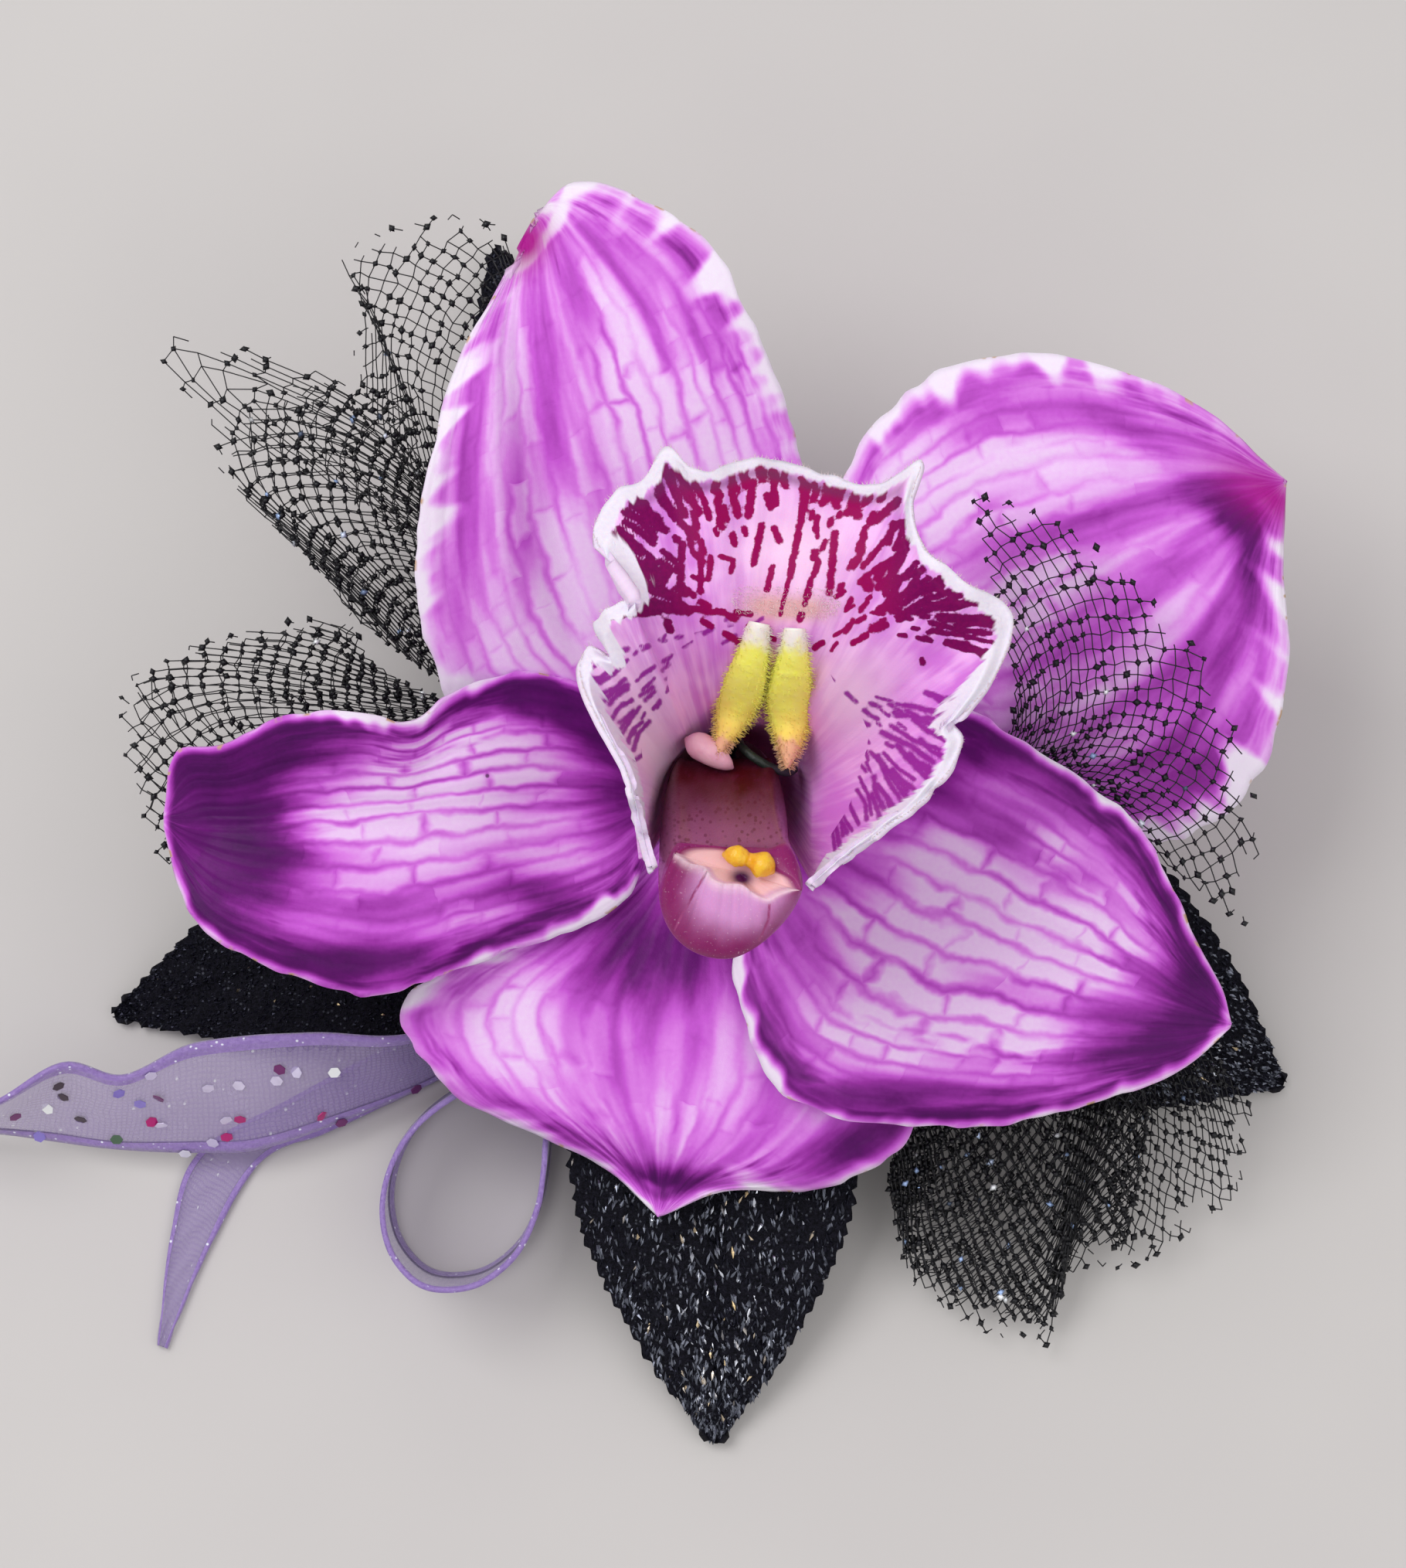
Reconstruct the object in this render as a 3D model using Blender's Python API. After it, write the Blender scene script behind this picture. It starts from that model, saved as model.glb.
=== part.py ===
"""Orchid boutonniere lying on its taped stem: one cymbidium flower, four glitter leaves,
tufts of net and an organza ribbon.

Most pieces are drawn in the flower's own face frame, in millimetres: x to the right, y toward
the lip, z forward out of the flower. An outline is drawn on the plane z = 0, the way it looks
from a sight point SIGHT in front of the flower, and placed() slides each point along its line
of sight to its own depth. The face frame hangs on one empty, which leans it back to lie down.
"""
import math

import bpy
import numpy as np

MM = 0.001
TILT = math.radians(15.0)
LIFT = 28.5
SHIFT_X = 7.9
SHIFT_Y = -4.1
SIGHT = 300.0
GAP = 0.3

PETAL_THICKNESS = 1.1
LIP_THICKNESS = 0.9
LEAF_THICKNESS = 0.7
NET_THICKNESS = 0.5
RIBBON_THICKNESS = 0.5
RIBBON_WIDTH = 10.0

BOSS_RADIUS = 3.0
RIM_RADIUS = 4.6
RIM_CENTRE = (1.1, -0.5)
RIM_TOP = -7.4
RIM_DEPTH = 0.6
OVARY_RADIUS = 2.4
PEDICEL_RADIUS = 1.8
STEM_HEAD_Y = -9.0
STEM_END_Y = -29.0
STEM_HEAD_RADIUS = 3.1
STEM_END_RADIUS = 2.0
SOCKET_DEPTH = 6.0
WIRE_RADIUS = 0.45
FLOWER_WIRE_RADIUS = 0.35
REST = 0.15


def clear_scene():
    """Start from an empty file."""
    for old in list(bpy.data.objects):
        bpy.data.objects.remove(old, do_unlink=True)


def material(name, colour, roughness, metallic=0.0):
    """A plain surface; colours are linear."""
    surface = bpy.data.materials.new(name)
    surface.use_nodes = True
    shader = surface.node_tree.nodes["Principled BSDF"]
    shader.inputs["Base Color"].default_value = (*colour, 1.0)
    shader.inputs["Roughness"].default_value = roughness
    shader.inputs["Metallic"].default_value = metallic
    return surface


def floor_depth(y):
    """Face-frame depth of the surface that the object lies on, at height y in the face."""
    return -(LIFT + y * math.sin(TILT)) / math.cos(TILT)


def placed(x, y, z):
    """The point that looks to be at (x, y) on the face plane, at its true depth z."""
    nearer = 1.0 - z / SIGHT
    return np.array([x * nearer, y * nearer, z])


def smooth(points, count):
    """Evenly spaced points on a smooth curve through the given ones."""
    points = np.array(points, dtype=float)
    ends = np.vstack([2 * points[0] - points[1], points, 2 * points[-1] - points[-2]])
    dense = []
    for i in range(len(points) - 1):
        a, b, c, d = ends[i:i + 4]
        for t in np.linspace(0.0, 1.0, 16, endpoint=False):
            dense.append(0.5 * (2 * b + (c - a) * t + (2 * a - 5 * b + 4 * c - d) * t ** 2
                                + (3 * b - a - 3 * c + d) * t ** 3))
    dense = np.array(dense + [points[-1]])
    steps = np.linalg.norm(np.diff(dense, axis=0), axis=1)
    walked = np.concatenate([[0.0], np.cumsum(steps)])
    wanted = np.linspace(0.0, walked[-1], count)
    return np.stack([np.interp(wanted, walked, dense[:, k]) for k in range(points.shape[1])], 1)


def profile(values, count):
    """A smooth run of single values, evenly spaced from first to last."""
    steps = [(i, value) for i, value in enumerate(values)]
    path = smooth(steps, 200)
    return np.interp(np.linspace(0, len(values) - 1, count), path[:, 0], path[:, 1])


def make_object(name, vertices, faces, surface, parent):
    """One closed mesh in millimetres becomes one object in metres."""
    mesh = bpy.data.meshes.new(name)
    mesh.from_pydata([tuple(v * MM) for v in vertices], [], faces)
    mesh.materials.append(surface)
    mesh.validate()
    mesh.shade_smooth()
    mesh.set_sharp_from_angle(angle=math.radians(50))
    piece = bpy.data.objects.new(name, mesh)
    piece.parent = parent
    bpy.context.scene.collection.objects.link(piece)
    return piece


def grid_normals(grid):
    """Unit normals of a grid of points, on the side where rows cross columns."""
    along = np.gradient(grid, axis=0)
    across = np.gradient(grid, axis=1)
    normals = np.cross(along, across)
    length = np.linalg.norm(normals, axis=2, keepdims=True)
    return normals / np.maximum(length, 1e-9)


def slab(name, grid, thickness, surface, parent, closed=False, relief=None):
    """A sheet of the given thickness whose front face is the grid of points.

    closed joins the last row to the first, as on a ring; relief lifts points of the front.
    """
    rows, columns = grid.shape[:2]
    normals = grid_normals(grid)
    if closed:
        wrapped = np.concatenate([grid[-2:], grid, grid[:2]])
        normals = grid_normals(wrapped)[2:-2]
    front = grid if relief is None else grid + normals * relief[:, :, None]
    back = grid - normals * thickness
    vertices = np.concatenate([front.reshape(-1, 3), back.reshape(-1, 3)])
    count = rows * columns

    def index(side, row, column):
        return side * count + (row % rows) * columns + column

    faces = []
    last = rows if closed else rows - 1
    for i in range(last):
        for j in range(columns - 1):
            quad = [(i, j), (i, j + 1), (i + 1, j + 1), (i + 1, j)]
            faces.append([index(0, *corner) for corner in reversed(quad)])
            faces.append([index(1, *corner) for corner in quad])
        for j, flip in ((0, True), (columns - 1, False)):
            edge = [index(0, i, j), index(0, i + 1, j), index(1, i + 1, j), index(1, i, j)]
            faces.append(edge[::-1] if flip else edge)
    if not closed:
        for j in range(columns - 1):
            for i, flip in ((0, False), (rows - 1, True)):
                edge = [index(0, i, j), index(0, i, j + 1), index(1, i, j + 1), index(1, i, j)]
                faces.append(edge[::-1] if flip else edge)
    return make_object(name, vertices, faces, surface, parent)


def tube(name, path, radii, sides, surface, parent, square=0):
    """A round solid along a path, one radius for each point, with flat ends.

    The first rings, as many as square tells, stand square to the path's first stretch.
    """
    path = np.array(path)
    tangents = np.gradient(path, axis=0)
    tangents[:square] = path[1] - path[0]
    tangents /= np.linalg.norm(tangents, axis=1, keepdims=True)
    side = np.cross(tangents[0], [0.3, 0.1, 0.9])
    rings = []
    for point, tangent, radius in zip(path, tangents, radii):
        side = side - tangent * side.dot(tangent)
        side /= np.linalg.norm(side)
        other = np.cross(tangent, side)
        for k in range(sides):
            angle = 2 * math.pi * k / sides
            rings.append(point + radius * (math.cos(angle) * side + math.sin(angle) * other))
    faces = [list(range(sides))[::-1], list(range(len(rings) - sides, len(rings)))]
    for i in range(len(path) - 1):
        for k in range(sides):
            a, b = i * sides + k, i * sides + (k + 1) % sides
            faces.append([a, b, b + sides, a + sides])
    return make_object(name, np.array(rings), faces, surface, parent)


# The flower's five spreading parts. Each has an outline in two halves and a midrib, all drawn
# from the base to the tip. right and left are as one looks from the base toward the tip; depth
# is the midrib's, and the two rises tell how far each margin stands forward of the midrib.
DORSAL_SEPAL = dict(
    left=[(2, -3.3), (6.4, -8.4), (11.6, -13.7), (15.1, -18.3), (16.5, -22.4), (16.2, -25.4),
          (13.9, -28.2), (8.7, -30.5), (1.7, -30.6), (-3.0, -32.4)],
    midrib=[(-0.1, -3.5), (-0.8, -12.5), (-1.7, -21.2), (-2.6, -27.6), (-3.4, -32.5)],
    right=[(-2.2, -3.2), (-7.5, -7.9), (-14.5, -11.6), (-20.3, -14.4), (-22.4, -16.6),
           (-21.8, -19.5), (-18, -23.8), (-12.2, -26.5), (-7.2, -29), (-3.6, -32.3)],
    depth=[-11.0, -10.0, -8.6, -8.0, -8.4, -10.4],
    left_rise=[0.0, 0.4, 0.6, 0.2, -1.2, -0.4],
    right_rise=[0.0, 0.3, 0.9, 0.0, -1.4, -0.4])

LATERAL_SEPAL_LEFT = dict(
    left=[(-3.2, 2.6), (-12.2, 3.5), (-18.6, 5.8), (-21.3, 12.4), (-21.4, 18.8), (-20.2, 25.8),
          (-18.3, 32.2), (-15.1, 37.5), (-13.8, 39.4), (-14, 40.2)],
    midrib=[(-1.1, 3.3), (-4.1, 12.4), (-7.7, 24), (-10.9, 35.1), (-12.3, 42), (-13.8, 40.6)],
    right=[(1, 4), (4.4, 9.5), (7.4, 15.9), (7.7, 21.7), (6.5, 27.5), (4.4, 33.3), (0.9, 40),
           (-4.4, 43.9), (-9.6, 45.2), (-12.8, 42.4)],
    depth=[-11.0, -7.6, -5.2, -3.6, -3.0, -4.0],
    left_rise=[0.0, -1.0, 0.4, 1.2, 0.8, 0.0],
    right_rise=[0.0, -1.0, -0.4, 0.6, 0.4, 0.0])

LATERAL_SEPAL_RIGHT = dict(
    left=[(1.9, 3.7), (5.8, 10.1), (9, 18.2), (12.5, 26.5), (18.9, 31.3), (26.4, 32.1),
          (33.1, 30.4), (38.6, 27.4), (41.6, 24.7), (43.7, 22.9)],
    midrib=[(3.1, 1.9), (15.1, 9.5), (26.7, 15.3), (36, 19.4), (43.9, 22.7)],
    right=[(4.3, 0), (10.4, 0.3), (18.6, -1.5), (26.7, -3.5), (33.1, -4.4), (38.3, -2.9),
           (42.1, 1.7), (44, 8.4), (43.6, 16.2), (43.8, 22.6)],
    depth=[-11.0, -8.6, -6.6, -5.4, -5.2, -7.0],
    left_rise=[0.0, 0.0, 0.6, 0.8, 0.4, 0.0],
    right_rise=[0.0, -1.2, -2.0, -1.6, -0.8, 0.0])

PETAL_LEFT = dict(
    left=[(-3.5, -3.1), (-5.6, -8.4), (-9.9, -11), (-14.5, -12.4), (-19.7, -14.4),
          (-24.5, -15.9), (-29.3, -14.8), (-33.6, -13.3), (-37.6, -10.8), (-39.3, -7.9),
          (-40.5, -3.3)],
    midrib=[(-3.3, -0.9), (-11.6, -1.5), (-22, -2.3), (-31.3, -3.2), (-37.6, -3.3),
            (-40.5, -2.6)],
    right=[(-2.9, 1.3), (-6.4, 5.8), (-9.9, 7.7), (-13.6, 8.4), (-18.4, 7), (-21.8, 4.6),
           (-25.8, 5.4), (-31.3, 5), (-36, 2.8), (-39.6, 2.3), (-40.5, -2.1)],
    depth=[-9.6, -6.8, -3.2, -1.2, -0.6, -2.4],
    left_rise=[0.0, -0.4, -0.6, -1.0, -1.0, 0.0],
    right_rise=[0.0, 0.6, 0.8, 3.4, 2.6, 0.0])

PETAL_RIGHT = dict(
    left=[(4, 0), (9.9, 3.7), (15.7, 5.8), (19.6, 5.7), (23.2, 3.7), (27.8, 1), (32.2, -2.6),
          (35.1, -7.3), (37.1, -12), (38.9, -15.1), (39.6, -17.6)],
    midrib=[(3, -1.8), (13.3, -7.6), (22, -11.6), (29.3, -14.5), (35.7, -16.7), (39.7, -18)],
    right=[(1.9, -3.5), (2.6, -9.6), (2.3, -14.8), (3.8, -19.5), (5.8, -23.1), (10.4, -25.3),
           (16.8, -25.7), (23.8, -25.4), (30.7, -23.5), (36.2, -21.3), (39.6, -18.3)],
    depth=[-9.6, -7.0, -3.8, -2.0, -2.4, -5.6],
    left_rise=[0.0, 0.6, 0.8, 0.6, 0.4, 0.0],
    right_rise=[0.0, 0.4, -0.4, -0.6, -0.4, 0.0])


def blade_grid(shape, rows, columns):
    """Points of a petal or sepal: rows run from base to tip, columns from right to left."""
    left = smooth(shape["left"], rows)
    middle = smooth(shape["midrib"], rows)
    right = smooth(shape["right"], rows)
    depth = profile(shape["depth"], rows)
    rises = (profile(shape["left_rise"], rows), profile(shape["right_rise"], rows))
    grid = np.zeros((rows, columns, 3))
    for i in range(rows):
        for j, across in enumerate(np.linspace(1.0, -1.0, columns)):
            edge, rise = (left, rises[0]) if across < 0 else (right, rises[1])
            x, y = middle[i] + abs(across) * (edge[i] - middle[i])
            grid[i, j] = placed(x, y, depth[i] + rise[i] * across ** 2)
    return grid


# The lip is a collar that opens toward the column: base, throat and margin each run from the
# tip of its left side lobe, over the mid lobe, to the tip of its right side lobe.
LIP_MARGIN = [(-3.7, -6.6, 21), (-4.7, -3.6, 22), (-5.7, 0.7, 22), (-8.1, 5.3, 20), (-9.3, 8.4, 18),
              (-8.6, 10.4, 16), (-7.0, 9.5, 18), (-8.2, 12.2, 19), (-5.2, 14.2, 21),
              (-6.0, 15.9, 20), (-8.1, 18.4, 19), (-7.7, 20.3, 18), (-6.4, 22.2, 17),
              (-4.5, 22.9, 16), (-2.8, 25.3, 14), (-0.9, 23.8, 15), (0.7, 23.6, 14),
              (4.4, 24.6, 11), (9.9, 23.1, 13), (12.8, 22.4, 14), (14.7, 23.3, 15),
              (16.4, 24.3, 15), (15.7, 21.4, 17), (16.5, 18.0, 19), (19.1, 15.6, 20),
              (23.0, 13.1, 19), (23.1, 11.0, 19), (22.0, 8.3, 19), (19.1, 5.2, 19),
              (17.7, 5.8, 17), (19.3, 2.9, 18), (17.2, -0.5, 20), (11.9, -4.6, 22),
              (9.3, -6.6, 22), (7.9, -7.8, 21)]
LIP_THROAT = [(-4.0, -5.4, 14), (-3.8, -2.9, 9), (-3.0, 0.3, 6), (-1.5, 2.6, 5), (0.6, 4.0, 5),
              (3.2, 4.6, 5), (5.8, 4.0, 5), (7.4, 2.3, 5), (8.1, -0.3, 6), (8.1, -3.6, 9),
              (7.9, -7.0, 14)]
LIP_CENTRE = (2.0, -3.0)
LIP_THROAT_SHARE = 0.34
LIP_BASE_CENTRE = (1.5, -0.6)
LIP_BASE_START = 205.0
LIP_BASE_SWEEP = 230.0
LIP_BASE_RADIUS = 4.2
LIP_BASE_DEPTH = -7.05
LIP_BULGE = 6.5
KEELS = [dict(path=[(1.5, 4), (2.4, 6.9), (3.6, 10.1), (4.4, 12)], width=1.7),
         dict(path=[(6.7, 3.7), (6.6, 6.6), (6.7, 9.5), (7, 11.6)], width=1.7)]
KEEL_HEIGHT = 1.8


def turn_shares(path):
    """How far round the throat's centre each point of a path lies, from 0 to 1.

    A small even share is mixed in, so that no two rows start at the same point.
    """
    angles = np.unwrap(np.arctan2(path[:, 1] - LIP_CENTRE[1], path[:, 0] - LIP_CENTRE[0]))
    shares = (angles - angles[0]) / (angles[-1] - angles[0])
    return 0.75 * np.maximum.accumulate(shares) + 0.25 * np.linspace(0.0, 1.0, len(path))


def lip_grid(rows, columns):
    """Points of the lip: rows run round the collar, columns from its base to its margin.

    Each row leaves the throat in the direction of its own point of the margin.
    """
    margin = smooth(LIP_MARGIN, rows)
    throat = smooth(LIP_THROAT, 120)
    margin_turn = turn_shares(margin)
    throat_turn = turn_shares(throat)
    grid = np.zeros((rows, columns, 3))
    for i in range(rows):
        around = margin_turn[i]
        inner = np.array([np.interp(around, throat_turn, throat[:, k]) for k in range(3)])
        angle = math.radians(LIP_BASE_START - LIP_BASE_SWEEP * around)
        base = np.array([LIP_BASE_CENTRE[0] + LIP_BASE_RADIUS * math.cos(angle),
                         LIP_BASE_CENTRE[1] + LIP_BASE_RADIUS * math.sin(angle), LIP_BASE_DEPTH])
        middle = math.exp(-((around - 0.5) / 0.2) ** 2)
        for j in range(columns):
            out = j / (columns - 1)
            if out < LIP_THROAT_SHARE:
                point = base + (inner - base) * out / LIP_THROAT_SHARE
            else:
                t = (out - LIP_THROAT_SHARE) / (1 - LIP_THROAT_SHARE)
                point = inner + (margin[i] - inner) * t
                point[2] += LIP_BULGE * middle * math.sin(math.pi * t ** 0.9)
            grid[i, j] = placed(*point)
    return grid


def keel_relief(grid):
    """How far the two keels lift the lip's front face at each point of its grid."""
    relief = np.zeros(grid.shape[:2])
    for keel in KEELS:
        path = smooth(keel["path"], 24)
        for i in range(grid.shape[0]):
            for j in range(grid.shape[1]):
                nearer = 1.0 - grid[i, j, 2] / SIGHT
                spot = grid[i, j, :2] / nearer
                away = np.linalg.norm(path - spot, axis=1)
                reach = away.min() / keel["width"]
                swell = math.sin(math.pi * (away.argmin() + 1) / (len(path) + 1)) ** 0.7
                if reach < 1.0:
                    relief[i, j] = max(relief[i, j], KEEL_HEIGHT * swell * (1 - reach ** 2))
    return relief


# The column: its face toward the lip is hollow, its back is round and its tip is a dome.
COLUMN_AXIS = [(1.7, -2.0, -7.05), (1.7, -2.9, 0), (1.8, -4.8, 8), (1.95, -7.2, 15),
               (2.15, -8.7, 19.5)]
COLUMN_HALF_WIDTH = [2.4, 3.3, 4.2, 4.9, 5.2]
COLUMN_BACK = [2.0, 3.0, 3.8, 4.4, 4.6]
COLUMN_FACE = [2.0, 2.2, 2.4, 2.8, 3.0]
COLUMN_TURN = math.radians(-12.0)


def make_column(surface, parent):
    """Rings of the hollow-faced section, closed by a flat base and a rounded tip."""
    stations, sides = 12, 20
    axis = smooth(COLUMN_AXIS, stations)
    widths = profile(COLUMN_HALF_WIDTH, stations)
    backs = profile(COLUMN_BACK, stations)
    faces_up = profile(COLUMN_FACE, stations)
    rings = []
    for i in range(stations):
        turn = COLUMN_TURN * (i / (stations - 1)) ** 2
        shrink = 1.0 if i < stations - 2 else (0.86 if i == stations - 2 else 0.55)
        for k in range(sides):
            angle = 2 * math.pi * k / sides
            x = widths[i] * math.cos(angle)
            y = backs[i] * math.sin(angle)
            if math.sin(angle) > 0:
                hollow = 0.75 * (1 - abs(math.cos(angle)))
                y = faces_up[i] * (math.sin(angle) ** 0.6) * (1 - hollow)
            spun = (x * math.cos(turn) - y * math.sin(turn), x * math.sin(turn) + y * math.cos(turn))
            rings.append(placed(axis[i][0] + shrink * spun[0], axis[i][1] + shrink * spun[1],
                                axis[i][2]))
    faces = [list(range(sides))[::-1], list(range(len(rings) - sides, len(rings)))]
    for i in range(stations - 1):
        for k in range(sides):
            a, b = i * sides + k, i * sides + (k + 1) % sides
            faces.append([a, b, b + sides, a + sides])
    return make_object("column", np.array(rings), faces, surface, parent)


def make_pollinarium(surface, parent):
    """Two waxy grains on a short strap, lying in the hollow of the column's tip."""
    grains = [(2.5, -5.7, 19.8), (4.4, -6.4, 19.8)]
    path = [placed(*grains[0]), placed(3.45, -6.0, 19.6), placed(*grains[1])]
    return tube("pollinarium", smooth(path, 9), [0.4, 0.9, 1.1, 0.9, 0.5, 0.9, 1.1, 0.9, 0.4], 8,
                surface, parent)


# Leaves: each is drawn from its base to its tip. Its wire lies under the midrib and runs back
# to the head of the stem; end is where the wire meets the tape.
LEAVES = dict(
    front=dict(base=(0.8, -10.5, -13.8), tip=(0.9, -49.5), width=22.2, arch=0.6,
               end=[(0.5, -9.2, -16.4), (0.4, -8.4, -18.4)]),
    left=dict(base=(-7.0, -6.0, -18.4), tip=(-44.2, -17.3), width=17.0, arch=1.4,
              end=[(-5.2, -7.4, -21.2), (-3.75, -10.0, -22.2)]),
    right=dict(base=(7.5, -6.5, -18.2), tip=(43.6, -22.5), width=20.0, arch=1.4,
               end=[(5.4, -7.6, -21.2), (3.75, -10.0, -22.2)]),
    back=dict(base=(-3.2, 4.6, -20.6), tip=(-15.7, 40.2), width=18.0, arch=1.4,
              end=[(-2.9, 1.5, -22.4), (-2.6, -6.5, -23.0)]))
WIRED_SHARE = 0.42


def leaf_tip_depth(leaf):
    """Depth at which the leaf's tip just rests on the surface."""
    return floor_depth(leaf["tip"][1] * 1.07) + LEAF_THICKNESS + REST


def leaf_point(leaf, along, across):
    """Point of a leaf's upper face; along runs from base to tip, across from -1 to 1."""
    base = np.array(leaf["base"])
    tip = np.array([*leaf["tip"], leaf_tip_depth(leaf)])
    run = tip[:2] - base[:2]
    side = np.array([-run[1], run[0]]) / np.linalg.norm(run)
    swell = math.sin(math.pi * along)
    half = 0.5 * leaf["width"] * max(math.sin(math.pi * along ** 0.82) ** 0.75, 0.06)
    x, y = base[:2] + run * along + side * half * across
    z = base[2] + (tip[2] - base[2]) * along + (leaf["arch"] + 0.7 * abs(across)) * swell
    return placed(x, y, z)


def leaf_grid(leaf, rows, columns):
    """Points of a leaf: it arches from its base down to its tip."""
    return np.array([[leaf_point(leaf, i / (rows - 1), across)
                      for across in np.linspace(-1.0, 1.0, columns)] for i in range(rows)])


def leaf_wire_path(leaf, count):
    """The route of a leaf's wire, from under its midrib to the stem."""
    below = np.array([0.0, 0.0, LEAF_THICKNESS + WIRE_RADIUS + GAP])
    under = [leaf_point(leaf, along, 0.0) - below for along in (WIRED_SHARE, 0.28, 0.15, 0.02)]
    return smooth(under + [placed(*point) for point in leaf["end"]], count)


def stem_axis(y):
    """Centre of the taped stem, which lies on the ribbon's tie, at height y in the face."""
    share = (y - STEM_HEAD_Y) / (STEM_END_Y - STEM_HEAD_Y)
    radius = STEM_HEAD_RADIUS + (STEM_END_RADIUS - STEM_HEAD_RADIUS) * share
    lift = radius + TIE_THICKNESS + GAP + REST
    return np.array([0.0, y, floor_depth(y) + lift / math.cos(TILT)]), radius


def make_ovary(surface, parent):
    """The knob that carries the flower's parts, the ovary behind it and the pedicel's bend."""
    end = stem_axis(STEM_HEAD_Y - SOCKET_DEPTH + 1.0)[0]
    mouth = stem_axis(STEM_HEAD_Y)[0]
    route = [(0, 0, RIM_TOP - 5), (0, 0, -15.5), (0, -1.2, -18.6), (0, -4.6, -21.0), mouth, end]
    curve = smooth(route, 12)
    path = [(*RIM_CENTRE, RIM_TOP), (*RIM_CENTRE, RIM_TOP - RIM_DEPTH),
            (0, 0, RIM_TOP - RIM_DEPTH - 0.05), (0, 0, RIM_TOP - 4.6), *curve]
    radii = [RIM_RADIUS, RIM_RADIUS, BOSS_RADIUS, BOSS_RADIUS,
             *np.interp(range(12), [0, 3, 6, 11],
                        [OVARY_RADIUS, OVARY_RADIUS, PEDICEL_RADIUS, PEDICEL_RADIUS])]
    return tube("ovary_pedicel", path, radii, 16, surface, parent, square=4)


def make_stem(surface, parent):
    """The taped stem: a tapering wrap with a socket in its head, which holds the pedicel."""
    sides = 16
    stations = []
    for y in np.linspace(STEM_HEAD_Y, STEM_END_Y, 8):
        centre, radius = stem_axis(y)
        stations.append((centre, radius))
    along = stations[-1][0] - stations[0][0]
    along /= np.linalg.norm(along)
    bore = PEDICEL_RADIUS + GAP
    depth = stations[0][0] + along * SOCKET_DEPTH
    rings = [(depth, bore), (stations[0][0], bore)] + stations
    side = np.array([1.0, 0.0, 0.0])
    other = np.cross(along, side)
    vertices = []
    for centre, radius in rings:
        for k in range(sides):
            angle = 2 * math.pi * k / sides
            vertices.append(centre + radius * (math.cos(angle) * side + math.sin(angle) * other))
    faces = [list(range(sides))[::-1], list(range(len(vertices) - sides, len(vertices)))]
    for i in range(len(rings) - 1):
        for k in range(sides):
            a, b = i * sides + k, i * sides + (k + 1) % sides
            faces.append([a, b, b + sides, a + sides])
    return make_object("stem_tape", np.array(vertices), faces, surface, parent)


# The ribbon: its tie goes round the stem and ends in a knot on the left, from which the loop
# and the two tails spring. Each tail is drawn by its two edges, the loop by its round.
TIE_START_Y = -12.5
TIE_END_Y = -19.5
TIE_THICKNESS = 0.8
KNOT_CENTRE = (-7.25, -17.0, -20.85)
KNOT_SIZE = (3.0, 3.4, 3.0)
LOOP = [(-9.9, -17.6, -16.6), (-15.6, -21.2, -13.2), (-19.8, -23.8, -12.4), (-22.1, -26.1, -11.6),
        (-23.5, -28.9, -10.4), (-23.9, -31.9, -10), (-23.2, -34.8, -9), (-21.3, -37, -8),
        (-19, -37.6, -8), (-16.2, -37, -8), (-13.6, -34.8, -9), (-12.1, -31.6, -10.4),
        (-11.6, -28.6, -11.8), (-11.4, -26, -12.6), (-10.7, -23.0, -15.0), (-8.4, -19.2, -15.6)]
LONG_TAIL_UPPER = [(-9.8, -13.2, -16.8), (-16, -16.4, -13.6), (-22.2, -19.1, -12.2),
                   (-30, -18.9, -11.6), (-38.2, -19.7, -11.8), (-43.5, -22.1, -13.2),
                   (-48, -21.2, -12.6), (-52.8, -24, -11.8), (-57.0, -25.2, -11.6)]
LONG_TAIL_LOWER = [(-9.9, -15.9, -21.4), (-16, -19.4, -20.0), (-20.2, -22.4, -19.2),
                   (-27.5, -25.5, -18.6), (-33.1, -27.4, -18.4), (-37.3, -27.7, -18.6),
                   (-44.4, -27.4, -19.0), (-52.8, -26.3, -19.6), (-59.0, -26.0, -20.0)]
SHORT_TAIL_LEFT = [(-7.8, -13.8), (-21.0, -18.5), (-31.0, -23.6), (-38.0, -27.8), (-40.0, -34.0),
                   (-40.9, -42.1)]
SHORT_TAIL_RIGHT = [(-8.2, -16.4), (-20.0, -22.2), (-28.0, -26.0), (-33.1, -28.2),
                    (-37.0, -34.6), (-40.4, -42.3)]


def make_tie(surface, parent):
    """The ribbon's turn round the stem, a closed band a little wider than the tape."""
    rows = 16
    grid = np.zeros((rows, 2, 3))
    for j, y in enumerate((TIE_START_Y, TIE_END_Y)):
        centre, radius = stem_axis(y)
        for i in range(rows):
            angle = 2 * math.pi * i / rows
            reach = radius + GAP + TIE_THICKNESS
            grid[i, j] = centre + reach * np.array([math.cos(angle), 0.0, math.sin(angle)])
    return slab("ribbon_tie", grid, TIE_THICKNESS, surface, parent, closed=True)


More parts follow.
